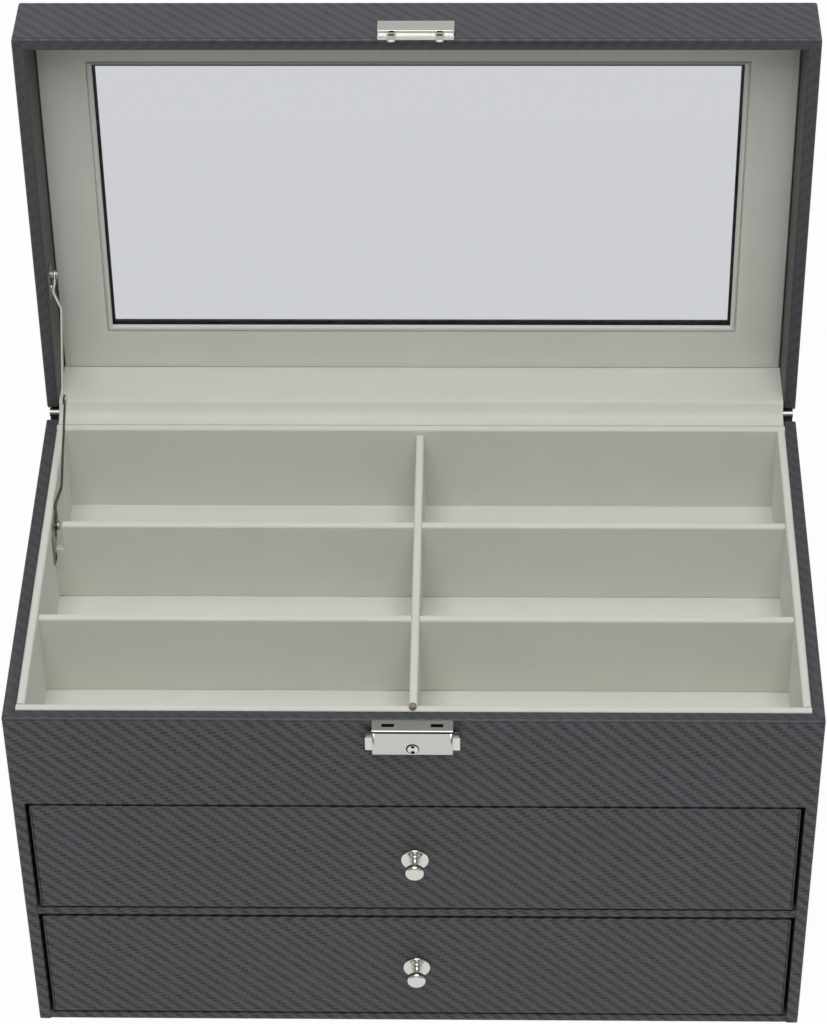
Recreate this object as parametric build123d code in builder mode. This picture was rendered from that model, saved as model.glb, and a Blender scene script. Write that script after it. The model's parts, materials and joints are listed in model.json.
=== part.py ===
"""Eyeglasses storage box: a lidded tray over two drawers, with a window in the lid.

The frame is in millimetres: X to the right, Y to the back and Z up, with its
origin at the middle of the base's underside. The lid stands open and the
drawers are shut.
"""

import os
from math import asin, cos, degrees, hypot, radians, sin

from build123d import *

os.makedirs("parts", exist_ok=True)

# Case
box_width = 335.0
box_depth = 194.0
wall = 5.2
back_thickness = 8.0
board = 4.0
bay_height = 64.6
tray_space = 46.3

# Tray
lining = 3.5
floor_lining = 1.5
partition = 3.5
partition_drop = 3.5
front_row_depth = 53.9
middle_row_depth = 55.4
lap_fit = 0.1
stay_notch_fit = 1.7

# Lid
lid_height = 30.5
lid_gap = 0.3
open_angle = 92.3
top_board = 3.3
window_margin = 30.2
glass = 1.6
glass_lap = 6.0
glass_fit = 0.3
glass_rebate = 1.7
inner_panel = 1.2
panel_setback = 1.2
bead_width = 2.3
bead_height = 0.8

# Piano hinge
base_groove = 5.2
lid_groove = 3.1
barrel_radius = 1.8
hinge_pin_radius = 0.8
pin_fit = 0.05
leaf = 0.8
leaf_drop = 0.9
knuckle_count = 19
knuckle_gap = 0.3
barrel_inset = 1.0

# Fabric over the hinge
flap = 0.6
flap_side_gap = 1.8

# Drawers
front_thickness = 5.0
front_side_gap = 1.5
front_floor_gap = 1.0
front_height = 62.0
drawer_side = 3.5
drawer_side_inset = 1.0
drawer_bottom = 3.0
drawer_wall_height = 48.0
drawer_partition = 3.0
drawer_partition_drop = 3.0
drawer_run_gap = 0.3
drawer_back_gap = 1.0

# Knobs
rosette_radius = 5.9
rosette_thickness = 1.0
rosette_bevel = 0.5
ring_radius = 2.9
ring_height = 0.6
ring_bevel_width = 0.18
ring_bevel_height = 0.36
neck_radius = 1.9
neck_length = 4.3
knob_radius = 4.2
knob_flare = 1.4
knob_flare_turn = 62.0
knob_rim = 1.8
knob_rim_bevel = 0.9
knob_face_radius = 3.3
knob_crown = 0.4
knob_length = 8.3
knob_screw_radius = 1.15
knob_screw_head_radius = 3.0
knob_screw_head = 1.6
knob_screw_round = 0.8
knob_screw_bite = 4.4
screw_end_gap = 0.2
screw_fit = 0.05

# Lock
case_half_width = 16.5
case_height = 13.8
case_depth = 7.0
case_drop = 0.2
case_shell = 1.0
case_corner = 1.0
tab_spacing = 20.0
tab_width = 3.7
tab_thickness = 1.2
tab_reach = 5.8
tab_stand = 2.4
slot_side_fit = 0.7
slot_face_fit = 0.3
button_height = 7.1
button_depth = 3.5
button_back_gap = 2.0
button_foot_gap = 2.1
button_stand = 3.0
button_fit = 0.3
button_travel = 2.0
button_round = 0.7
tab_room = 0.5
slide_inner_end = 5.5
slide_height = 5.4
catch_width = 1.2
catch_height = 3.6
catch_fit = 0.35
shoulder = 0.8
shoulder_width = 1.2
spring_post = 0.8
spring_slot = 1.8
spring_radius = 0.6
spring_wire_radius = 0.2
spring_wire_sides = 12
spring_length = 5.2
spring_turns = 5
cylinder_radius = 2.7
cylinder_fit = 0.05
cylinder_drop = 10.3
cylinder_proud = 0.4
cylinder_core_radius = 2.2
cylinder_clip_radius = 2.4
cylinder_clip = 0.5
cam_width = 2.4
cam_length = 4.0
cam_thickness = 1.2
keyway_radius = 0.6
keyway_spacing = 2.6
keyway_width = 0.7
keyway_depth = 1.2
lock_screw_inset = 2.6
lock_screw_rise = 3.0
lock_screw_radius = 1.0
lock_screw_head_radius = 2.1
lock_screw_head = 1.2
lock_boss_radius = 1.6
lock_boss = 1.7

# Strike on the lid
strike_half_width = 16.0
strike_lip_height = 4.4
strike_lip = 1.0
strike_block_height = 7.3
strike_block = 3.6
strike_corner = 0.9
strike_tack_radius = 0.7
strike_tack_length = 3.5
strike_tack_spacing = 24.0

# Lid stay
stay_strip = 0.7
stay_width = 4.6
stay_gap = 0.3
lower_arm_length = 58.0
stay_slack = 2.7
base_pivot_drop = 6.5
lid_pivot_reach = 70.0
lid_pivot_rise = 8.0
bracket_plate = 0.8
lower_joggle = 3.4
lower_joggle_start = 9.0
joggle_length = 7.0
upper_joggle_start = 11.0
pivot_radius = 1.25
pivot_fit = 0.05
pivot_head_radius = 2.1
pivot_head = 0.7
pivot_head_round = 0.42
base_plate_edge = 1.7
base_plate_behind = 4.4
base_plate_lap = 0.6
base_plate_height = 13.6
base_screw_rise = 5.4
base_foot_width = 5.0
base_foot_drop = 5.6
base_foot_fit = 0.3
lid_plate_half_width = 4.6
lid_plate_ahead = 3.6
lid_plate_behind = 10.0
lid_screw_spacing = 4.4
stay_screw_radius = 0.9
stay_screw_head_radius = 1.8
stay_screw_head = 0.7
stay_screw_length = 3.6

# Stud on the front lining
stud_radius = 1.55
stud_height = 2.0
stud_round = 0.7
stud_shank_radius = 0.8
stud_shank_length = 7.0

# Places that follow from the sizes
half_width = box_width / 2
half_depth = box_depth / 2
inner_half = half_width - wall
front_inner = -(half_depth - wall)
back_inner = half_depth - back_thickness
upper_floor = 2 * board + bay_height
shelf_low = upper_floor + bay_height
tray_low = shelf_low + board
rim = tray_low + tray_space
floor_top = tray_low + floor_lining
lining_half = inner_half - lining
lining_front = front_inner + lining
lining_back = back_inner - lining
partition_top = rim - partition_drop
lap_height = (floor_top + partition_top) / 2
front_partition = lining_front + front_row_depth
rear_partition = front_partition + partition + middle_row_depth
leaf_low = leaf_drop + leaf
wall_rise = lid_height - top_board

# The lid's planes turn about the hinge axis. In them x is the box's own X, y
# runs from the front at minus the depth to the axis at zero, and the height
# above the lid's rim plane is the plane's offset.
tilt = radians(open_angle)
lid_plane = Plane(
    origin=(0, half_depth, rim), x_dir=(1, 0, 0), z_dir=(0, sin(tilt), cos(tilt))
)


def lid_side_plane(x):
    """Return the lid's cross-section plane at x, drawn as (y, height)."""
    return Plane(
        origin=(x, half_depth, rim),
        x_dir=(0, cos(tilt), -sin(tilt)),
        z_dir=(1, 0, 0),
    )


def lid_point(x, y, height):
    """Return the place in the box's frame of a point given in the lid's frame."""
    return (
        x,
        half_depth + y * cos(tilt) + height * sin(tilt),
        rim - y * sin(tilt) + height * cos(tilt),
    )


def rectangle_between(left, right, low, high):
    """Draw a rectangle between four edges in the sketch being made."""
    with Locations(((left + right) / 2, (low + high) / 2)):
        Rectangle(right - left, high - low)


# Side walls, with the groove for the hinge across their upper rear corners
for side, inner, outer in (
    ("left", -inner_half, -half_width),
    ("right", inner_half, half_width),
):
    with BuildPart() as side_wall:
        with BuildSketch(Plane.YZ.offset(min(inner, outer))):
            with BuildLine():
                Polyline(
                    (-half_depth, 0),
                    (half_depth, 0),
                    (half_depth, rim - base_groove),
                    (half_depth - base_groove, rim),
                    (-half_depth, rim),
                    close=True,
                )
            make_face()
        extrude(amount=wall)
    side_wall.part.label = f"side_wall_{side}"
    export_step(side_wall.part, f"parts/side_wall_{side}.step")

# Back wall, lowered at its rim for the hinge leaf and the fabric over it
with BuildPart() as back_wall:
    with BuildSketch(Plane.YZ.offset(-inner_half)):
        with BuildLine():
            Polyline(
                (back_inner, 0),
                (half_depth, 0),
                (half_depth, rim - base_groove),
                (half_depth - base_groove + leaf_low, rim - leaf_low),
                (back_inner, rim - leaf_low),
                close=True,
            )
        make_face()
    extrude(amount=2 * inner_half)
back_wall.part.label = "back_wall"
export_step(back_wall.part, "parts/back_wall.step")

# Places shared by the lock and the panel that carries it
case_top = rim - case_drop
case_bottom = case_top - case_height
case_front = -half_depth - case_depth
lock_screw_x = case_half_width - lock_screw_inset
lock_screw_z = case_bottom + lock_screw_rise
lock_screw_places = [(-lock_screw_x, lock_screw_z), (lock_screw_x, lock_screw_z)]

# Panel above the drawers, drilled for the lock's screws
with BuildPart() as front_panel:
    with BuildSketch(Plane.XY.offset(shelf_low)):
        rectangle_between(-inner_half, inner_half, -half_depth, front_inner)
    extrude(amount=rim - shelf_low)
    panel_back = Plane(
        origin=(0, front_inner, 0), x_dir=(-1, 0, 0), z_dir=(0, 1, 0)
    )
    with Locations(panel_back):
        with Locations(*[(-x, z) for x, z in lock_screw_places]):
            CounterBoreHole(
                radius=lock_screw_radius + screw_fit,
                counter_bore_radius=lock_screw_head_radius + screw_fit,
                counter_bore_depth=lock_screw_head + screw_fit,
            )
front_panel.part.label = "front_panel"
export_step(front_panel.part, "parts/front_panel.step")

# Boards under the lower drawer and between the drawers
for name, low in (("bottom_board", 0), ("drawer_divider", board + bay_height)):
    with BuildPart() as flat_board:
        with BuildSketch(Plane.XY.offset(low)):
            rectangle_between(-inner_half, inner_half, -half_depth, back_inner)
        extrude(amount=board)
    flat_board.part.label = name
    export_step(flat_board.part, f"parts/{name}.step")

# Shelf under the tray, behind the front panel
with BuildPart() as tray_shelf:
    with BuildSketch(Plane.XY.offset(shelf_low)):
        rectangle_between(-inner_half, inner_half, front_inner, back_inner)
    extrude(amount=board)
tray_shelf.part.label = "tray_shelf"
export_step(tray_shelf.part, "parts/tray_shelf.step")

# Padded floor of the tray
with BuildPart() as tray_floor:
    with BuildSketch(Plane.XY.offset(tray_low)):
        rectangle_between(-lining_half, lining_half, lining_front, lining_back)
    extrude(amount=floor_lining)
tray_floor.part.label = "tray_floor"
export_step(tray_floor.part, "parts/tray_floor.step")

# Front lining board, drilled for the stud on its top edge
stud_y = front_inner + lining / 2
with BuildPart() as tray_lining_front:
    with BuildSketch(Plane.XY.offset(tray_low)):
        rectangle_between(-inner_half, inner_half, front_inner, lining_front)
    extrude(amount=tray_space)
    with Locations((0, stud_y, rim)):
        Hole(radius=stud_shank_radius + screw_fit, depth=stud_shank_length + screw_fit)
tray_lining_front.part.label = "tray_lining_front"
export_step(tray_lining_front.part, "parts/tray_lining_front.step")

# Back lining board
with BuildPart() as tray_lining_back:
    with BuildSketch(Plane.XY.offset(tray_low)):
        rectangle_between(-inner_half, inner_half, lining_back, back_inner)
    extrude(amount=tray_space)
tray_lining_back.part.label = "tray_lining_back"
export_step(tray_lining_back.part, "parts/tray_lining_back.step")

# Places of the stay's base pivot, level with the rear partition's back, and of
# the two screws of its bracket
base_pivot_y = rear_partition + partition
base_pivot_z = rim - base_pivot_drop
base_plate_x = -lining_half + bracket_plate
base_plate_top = base_pivot_z + stay_width / 2 + base_plate_edge
base_plate_low = base_plate_top - base_plate_height
base_foot_back = rear_partition - base_foot_fit
base_foot_front = base_foot_back - base_foot_width
base_foot_low = base_plate_low - base_foot_drop
base_screw_places = [
    (base_pivot_y, base_plate_low + base_screw_rise),
    ((base_foot_front + base_foot_back) / 2, base_foot_low + base_foot_width / 2),
]

# Side lining boards, the left one drilled for the bracket's screws
for side, inner, outer in (
    ("left", -lining_half, -inner_half),
    ("right", lining_half, inner_half),
):
    with BuildPart() as tray_lining_side:
        with BuildSketch(Plane.XY.offset(tray_low)):
            rectangle_between(
                min(inner, outer), max(inner, outer), lining_front, lining_back
            )
        extrude(amount=tray_space)
        if side == "left":
            with BuildSketch(Plane.YZ.offset(-lining_half)):
                with Locations(*base_screw_places):
                    Circle(stay_screw_radius + screw_fit)
            extrude(amount=-(stay_screw_length - bracket_plate), mode=Mode.SUBTRACT)
    tray_lining_side.part.label = f"tray_lining_{side}"
    export_step(tray_lining_side.part, f"parts/tray_lining_{side}.step")

# Centre partition, slotted from below where the cross partitions pass
with BuildPart() as tray_centre_partition:
    with BuildSketch(Plane.YZ.offset(-partition / 2)):
        rectangle_between(lining_front, lining_back, floor_top, partition_top)
        for low in (front_partition, rear_partition):
            with Locations((low + partition / 2, floor_top)):
                Rectangle(
                    partition + 2 * lap_fit,
                    2 * (lap_height - floor_top + lap_fit),
                    mode=Mode.SUBTRACT,
                )
    extrude(amount=partition)
tray_centre_partition.part.label = "tray_centre_partition"
export_step(tray_centre_partition.part, "parts/tray_centre_partition.step")

# Cross partitions, slotted from above. The rear one is notched for the stay.
notch_width = bracket_plate + stay_strip + 2 * stay_gap + pivot_head + stay_notch_fit
notch_depth = partition_top - base_plate_low + stay_notch_fit
with BuildPart() as tray_cross_partitions:
    for low in (front_partition, rear_partition):
        with BuildSketch(Plane.XZ.offset(-low)):
            rectangle_between(-lining_half, lining_half, floor_top, partition_top)
            with Locations((0, partition_top)):
                Rectangle(
                    partition + 2 * lap_fit,
                    2 * (partition_top - lap_height),
                    mode=Mode.SUBTRACT,
                )
            if low == rear_partition:
                with Locations((-lining_half, partition_top)):
                    Rectangle(2 * notch_width, 2 * notch_depth, mode=Mode.SUBTRACT)
        extrude(amount=-partition)
tray_cross_partitions.part.label = "tray_cross_partitions"
export_step(tray_cross_partitions.part, "parts/tray_cross_partitions.step")

# Stud in the front lining's top edge
with BuildPart() as rim_stud:
    with BuildSketch(Plane.XY.offset(rim)):
        with Locations((0, stud_y)):
            Circle(stud_radius)
    extrude(amount=stud_height)
    fillet(rim_stud.edges().group_by(Axis.Z)[-1], radius=stud_round)
    with BuildSketch(Plane.XY.offset(rim)):
        with Locations((0, stud_y)):
            Circle(stud_shank_radius)
    extrude(amount=-stud_shank_length)
rim_stud.part.label = "rim_stud"
export_step(rim_stud.part, "parts/rim_stud.step")

# Knuckles of the piano hinge take turns between the two leaves
barrel_half = half_width - barrel_inset
knuckle_pitch = 2 * barrel_half / knuckle_count
leaf_half = inner_half - knuckle_gap


def knuckle_span(index):
    """Return the left and right ends of one knuckle's share of the barrel."""
    left = -barrel_half + index * knuckle_pitch
    return left, left + knuckle_pitch


base_knuckles = range(0, knuckle_count, 2)
lid_knuckles = range(1, knuckle_count, 2)
barrel_room = barrel_radius + knuckle_gap

with BuildPart() as hinge_base_leaf:
    with BuildSketch(Plane.XY.offset(rim - leaf_low)):
        rectangle_between(-leaf_half, leaf_half, back_inner, half_depth)
        for index in lid_knuckles:
            left, right = knuckle_span(index)
            with Locations(((left + right) / 2, half_depth)):
                Rectangle(
                    right - left + knuckle_gap, 2 * barrel_room, mode=Mode.SUBTRACT
                )
    extrude(amount=leaf)
    for index in base_knuckles:
        left, right = knuckle_span(index)
        with BuildSketch(Plane.YZ.offset(left + knuckle_gap / 2)):
            with Locations((half_depth, rim)):
                Circle(barrel_radius)
        extrude(amount=right - left - knuckle_gap)
    with BuildSketch(Plane.YZ.offset(-half_width)):
        with Locations((half_depth, rim)):
            Circle(hinge_pin_radius + pin_fit)
    extrude(amount=box_width, mode=Mode.SUBTRACT)
hinge_base_leaf.part.label = "hinge_base_leaf"
export_step(hinge_base_leaf.part, "parts/hinge_base_leaf.step")

with BuildPart() as hinge_lid_leaf:
    with BuildSketch(lid_plane.offset(leaf_drop)):
        rectangle_between(-leaf_half, leaf_half, -wall, 0)
        for index in base_knuckles:
            left, right = knuckle_span(index)
            with Locations(((left + right) / 2, 0)):
                Rectangle(
                    right - left + knuckle_gap, 2 * barrel_room, mode=Mode.SUBTRACT
                )
    extrude(amount=leaf)
    for index in lid_knuckles:
        left, right = knuckle_span(index)
        with BuildSketch(lid_side_plane(left + knuckle_gap / 2)):
            Circle(barrel_radius)
        extrude(amount=right - left - knuckle_gap)
    with BuildSketch(lid_side_plane(-half_width)):
        Circle(hinge_pin_radius + pin_fit)
    extrude(amount=box_width, mode=Mode.SUBTRACT)
hinge_lid_leaf.part.label = "hinge_lid_leaf"
export_step(hinge_lid_leaf.part, "parts/hinge_lid_leaf.step")

with BuildPart() as hinge_pin:
    with BuildSketch(Plane.YZ.offset(-barrel_half)):
        with Locations((half_depth, rim)):
            Circle(hinge_pin_radius)
    extrude(amount=2 * barrel_half)
hinge_pin.part.label = "hinge_pin"
export_step(hinge_pin.part, "parts/hinge_pin.step")

# Fabric over the hinge: one strip on the base's rim, one on the lid's rear wall
flap_half = inner_half - flap_side_gap
flap_low = leaf_drop - flap
with BuildPart() as base_flap:
    with BuildSketch(Plane.XY.offset(rim - leaf_drop)):
        rectangle_between(
            -flap_half, flap_half, back_inner, half_depth - barrel_room
        )
    extrude(amount=flap)
base_flap.part.label = "base_flap"
export_step(base_flap.part, "parts/base_flap.step")

panel_low = wall_rise - inner_panel
with BuildPart() as lid_flap:
    with BuildSketch(lid_side_plane(-flap_half)):
        rectangle_between(-wall - flap, -barrel_room, flap_low, leaf_drop)
        rectangle_between(-wall - flap, -wall, flap_low, panel_low)
    extrude(amount=2 * flap_half)
lid_flap.part.label = "lid_flap"
export_step(lid_flap.part, "parts/lid_flap.step")

# Places of the stay's lid pivot and of the screws of its bracket, in the lid
lid_pivot_y = -lid_pivot_reach
lid_screw_y = lid_pivot_y + lid_plate_behind - lid_plate_half_width
lid_screw_places = [
    (lid_screw_y, lid_pivot_rise - lid_screw_spacing / 2),
    (lid_screw_y, lid_pivot_rise + lid_screw_spacing / 2),
]

# Lid side walls, the left one drilled for the stay's bracket
for side, inner, outer in (
    ("left", -inner_half, -half_width),
    ("right", inner_half, half_width),
):
    with BuildPart() as lid_side_wall:
        with BuildSketch(lid_side_plane(min(inner, outer))):
            with BuildLine():
                Polyline(
                    (-box_depth, lid_gap),
                    (-lid_groove, lid_gap),
                    (0, lid_gap + lid_groove),
                    (0, wall_rise),
                    (-box_depth, wall_rise),
                    close=True,
                )
            make_face()
        extrude(amount=wall)
        if side == "left":
            with BuildSketch(lid_side_plane(-inner_half)):
                with Locations(*lid_screw_places):
                    Circle(stay_screw_radius + screw_fit)
            extrude(amount=-(stay_screw_length - bracket_plate), mode=Mode.SUBTRACT)
    lid_side_wall.part.label = f"lid_{side}_wall"
    export_step(lid_side_wall.part, f"parts/lid_{side}_wall.step")

# Lid rear wall, lowered at its rim for the hinge leaf
with BuildPart() as lid_back_wall:
    with BuildSketch(lid_side_plane(-inner_half)):
        with BuildLine():
            Polyline(
                (-wall, leaf_low),
                (leaf_low - lid_gap - lid_groove, leaf_low),
                (0, lid_gap + lid_groove),
                (0, wall_rise),
                (-wall, wall_rise),
                close=True,
            )
        make_face()
    extrude(amount=2 * inner_half)
lid_back_wall.part.label = "lid_back_wall"
export_step(lid_back_wall.part, "parts/lid_back_wall.step")

# Lid front wall, drilled for the strike's tacks
strike_block_low = lid_gap + strike_lip_height
strike_height = strike_lip_height + strike_block_height
strike_tack_height = strike_block_low + strike_block_height / 2
strike_tack_places = [
    (-strike_tack_spacing / 2, strike_tack_height),
    (strike_tack_spacing / 2, strike_tack_height),
]
lid_front_plane = Plane(
    origin=lid_point(0, -box_depth, 0),
    x_dir=(1, 0, 0),
    z_dir=(0, -cos(tilt), sin(tilt)),
)
with BuildPart() as lid_front_wall:
    with BuildSketch(lid_plane.offset(lid_gap)):
        rectangle_between(-inner_half, inner_half, -box_depth, wall - box_depth)
    extrude(amount=wall_rise - lid_gap)
    with BuildSketch(lid_front_plane):
        with Locations(*strike_tack_places):
            Circle(strike_tack_radius + screw_fit)
    extrude(amount=-(strike_tack_length + screw_fit), mode=Mode.SUBTRACT)
lid_front_wall.part.label = "lid_front_wall"
export_step(lid_front_wall.part, "parts/lid_front_wall.step")

# Top board of the lid: a frame rebated on its underside for the glass
window_half = half_width - window_margin
window_front = window_margin - box_depth
glass_top = wall_rise + glass_rebate
with BuildPart() as lid_top_frame:
    with BuildSketch(lid_plane.offset(wall_rise)):
        rectangle_between(-half_width, half_width, -box_depth, 0)
    extrude(amount=top_board)
    with BuildSketch(lid_plane.offset(wall_rise)):
        rectangle_between(-window_half, window_half, window_front, -window_margin)
    extrude(amount=top_board, mode=Mode.SUBTRACT)
    with BuildSketch(lid_plane.offset(wall_rise)):
        rectangle_between(
            -window_half - glass_lap - glass_fit,
            window_half + glass_lap + glass_fit,
            window_front - glass_lap - glass_fit,
            -window_margin + glass_lap + glass_fit,
        )
    extrude(amount=glass_rebate, mode=Mode.SUBTRACT)
lid_top_frame.part.label = "lid_top_frame"
export_step(lid_top_frame.part, "parts/lid_top_frame.step")

with BuildPart() as window_glass:
    with BuildSketch(lid_plane.offset(glass_top - glass)):
        rectangle_between(
            -window_half - glass_lap,
            window_half + glass_lap,
            window_front - glass_lap,
            -window_margin + glass_lap,
        )
    extrude(amount=glass)
window_glass.part.label = "window_glass"
export_step(window_glass.part, "parts/window_glass.step")

# Padded panel that holds the glass in, with a raised bead round its window
with BuildPart() as lid_inner_panel:
    with BuildSketch(lid_plane.offset(panel_low)):
        rectangle_between(-inner_half, inner_half, wall - box_depth, -wall)
    extrude(amount=inner_panel)
    with BuildSketch(lid_plane.offset(panel_low)):
        rectangle_between(
            -window_half - panel_setback - bead_width,
            window_half + panel_setback + bead_width,
            window_front - panel_setback - bead_width,
            -window_margin + panel_setback + bead_width,
        )
    extrude(amount=-bead_height)
    with BuildSketch(lid_plane.offset(panel_low - bead_height)):
        rectangle_between(
            -window_half - panel_setback,
            window_half + panel_setback,
            window_front - panel_setback,
            -window_margin + panel_setback,
        )
    extrude(amount=bead_height + inner_panel, mode=Mode.SUBTRACT)
lid_inner_panel.part.label = "lid_inner_panel"
export_step(lid_inner_panel.part, "parts/lid_inner_panel.step")

# Strike: a plate with a raised block, and two tabs that enter the lock
tab_centre = tab_stand + tab_thickness / 2
with BuildPart() as strike_plate:
    with BuildSketch(lid_front_plane):
        with Locations((0, lid_gap + strike_height / 2)):
            RectangleRounded(2 * strike_half_width, strike_height, strike_corner)
    extrude(amount=strike_lip)
    with BuildSketch(lid_front_plane):
        with Locations((0, lid_gap + strike_height / 2)):
            RectangleRounded(2 * strike_half_width, strike_height, strike_corner)
        with Locations((0, strike_block_low + strike_block_height / 2)):
            Rectangle(
                2 * strike_half_width, strike_block_height, mode=Mode.INTERSECT
            )
    extrude(amount=strike_block)
    for x in (-tab_spacing / 2, tab_spacing / 2):
        with BuildSketch(lid_front_plane.offset(tab_stand)):
            rectangle_between(
                x - tab_width / 2,
                x + tab_width / 2,
                lid_gap - tab_reach + tab_width / 2,
                strike_block_low,
            )
            with Locations((x, lid_gap - tab_reach + tab_width / 2)):
                Circle(tab_width / 2)
        extrude(amount=tab_thickness)
    with BuildSketch(lid_front_plane):
        with Locations(*strike_tack_places):
            Circle(strike_tack_radius)
    extrude(amount=-strike_tack_length)
strike_plate.part.label = "strike_plate"
export_step(strike_plate.part, "parts/strike_plate.step")

# Places inside the lock. The buttons' slides run under the tips of the tabs.
button_low = case_bottom + button_foot_gap
button_back = -half_depth - button_back_gap
button_front = button_back - button_depth
slide_top = button_low + slide_height
slot_y = -half_depth - tab_centre
spring_z = button_low + slide_height / 2
spring_y = (button_back + button_front) / 2
catch_outer = tab_spacing / 2 - tab_width / 2 - catch_fit
catch_inner = catch_outer - catch_width
post_inner = catch_inner
post_outer = post_inner + spring_post
slide_slot_inner = post_inner - button_fit
slide_slot_outer = post_outer + spring_length
tall_inner = tab_spacing / 2 + tab_width / 2 + button_travel + tab_room
case_inner_half = case_half_width - case_shell
key_z = rim - cylinder_drop

with BuildPart() as lock_case:
    with BuildSketch(Plane.XY.offset(case_bottom)):
        rectangle_between(
            -case_half_width, case_half_width, case_front, -half_depth
        )
    extrude(amount=case_height)
    front_edges = lock_case.faces().sort_by(Axis.Y)[0].edges()
    fillet(front_edges, radius=case_corner)
    with BuildSketch(Plane.XY.offset(case_bottom + case_shell)):
        rectangle_between(
            -case_inner_half, case_inner_half, case_front + case_shell, -half_depth
        )
    extrude(amount=case_height - 2 * case_shell, mode=Mode.SUBTRACT)
    with BuildSketch(Plane.XY.offset(case_top - 2 * case_shell)):
        with Locations((-tab_spacing / 2, slot_y), (tab_spacing / 2, slot_y)):
            Rectangle(
                tab_width + 2 * slot_side_fit, tab_thickness + 2 * slot_face_fit
            )
    extrude(amount=3 * case_shell, mode=Mode.SUBTRACT)
    with BuildSketch(Plane.YZ.offset(-case_half_width - case_shell)):
        rectangle_between(
            button_front - button_fit,
            button_back + button_fit,
            button_low - button_fit,
            button_low + button_height + button_fit,
        )
    extrude(amount=2 * (case_half_width + case_shell), mode=Mode.SUBTRACT)
    with BuildSketch(Plane.XZ.offset(-case_front - case_shell)):
        with Locations((0, key_z)):
            Circle(cylinder_core_radius + cylinder_fit)
    extrude(amount=2 * case_shell, mode=Mode.SUBTRACT)
    with BuildSketch(Plane.XZ.offset(half_depth)):
        with Locations(*lock_screw_places):
            Circle(lock_boss_radius)
            Rectangle(2 * lock_boss_radius, 2 * lock_screw_rise)
        rectangle_between(
            -case_inner_half, case_inner_half, case_bottom, case_bottom + case_shell
        )
    extrude(amount=lock_boss)
    for turn in (-1, 1):
        with BuildSketch(Plane.XZ.offset(-case_front - case_shell)):
            rectangle_between(
                min(turn * post_inner, turn * post_outer),
                max(turn * post_inner, turn * post_outer),
                spring_z - spring_slot / 2 + button_fit,
                spring_z + spring_slot / 2 - button_fit,
            )
        extrude(amount=-(button_depth + button_back_gap / 2))
    with BuildSketch(Plane.XZ.offset(half_depth)):
        with Locations(*lock_screw_places):
            Circle(lock_screw_radius + screw_fit)
    extrude(amount=lock_boss + screw_fit, mode=Mode.SUBTRACT)
lock_case.part.label = "lock_case"
export_step(lock_case.part, "parts/lock_case.step")

# Screws that hold the lock from inside the front panel
with BuildPart() as lock_screws:
    for x, z in lock_screw_places:
        with BuildSketch(Plane.XZ.offset(-front_inner)):
            with Locations((x, z)):
                Circle(lock_screw_head_radius)
        extrude(amount=lock_screw_head)
        with BuildSketch(Plane.XZ.offset(-front_inner)):
            with Locations((x, z)):
                Circle(lock_screw_radius)
        extrude(amount=wall + lock_boss)
lock_screws.part.label = "lock_screws"
export_step(lock_screws.part, "parts/lock_screws.step")

# Push buttons, each one piece with the slide and the catch that it moves
for side, turn in (("left", -1), ("right", 1)):

    def across(near, far, low, high):
        """Draw a rectangle between two distances from the lock's middle."""
        rectangle_between(
            min(turn * near, turn * far), max(turn * near, turn * far), low, high
        )

    with BuildPart() as lock_button:
        with BuildSketch(Plane.XZ.offset(-button_back)):
            across(
                tall_inner,
                case_half_width + button_stand,
                button_low,
                button_low + button_height,
            )
            across(slide_inner_end, tall_inner, button_low, slide_top)
            across(
                case_inner_half - button_fit - shoulder_width,
                case_inner_half - button_fit,
                button_low - shoulder,
                button_low,
            )
        extrude(amount=button_depth)
        head_edges = (
            lock_button.faces()
            .sort_by(Axis.X)[0 if turn < 0 else -1]
            .edges()
        )
        fillet(head_edges, radius=button_round)
        with BuildSketch(Plane.XZ.offset(-button_back)):
            across(
                slide_slot_inner,
                slide_slot_outer,
                spring_z - spring_slot / 2,
                spring_z + spring_slot / 2,
            )
        extrude(amount=button_depth, mode=Mode.SUBTRACT)
        with BuildSketch(Plane.XZ.offset(-slot_y - tab_thickness / 2)):
            across(catch_inner, catch_outer, slide_top, slide_top + catch_height)
        extrude(amount=tab_thickness)
    lock_button.part.label = f"lock_button_{side}"
    export_step(lock_button.part, f"parts/lock_button_{side}.step")

    # The spring's round wire is drawn with twelve flats
    with BuildPart() as lock_spring:
        coil_start = post_outer + 2 * spring_wire_radius
        coil_length = spring_length - 4 * spring_wire_radius
        with BuildLine():
            coil = Helix(
                pitch=coil_length / spring_turns,
                height=coil_length,
                radius=spring_radius,
                center=(turn * coil_start, spring_y, spring_z),
                direction=(turn, 0, 0),
            )
        with BuildSketch(Plane(origin=coil @ 0, z_dir=coil % 0)):
            RegularPolygon(radius=spring_wire_radius, side_count=spring_wire_sides)
        sweep(path=coil, is_frenet=True)
    lock_spring.part.label = f"lock_spring_{side}"
    export_step(lock_spring.part, f"parts/lock_spring_{side}.step")

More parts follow.
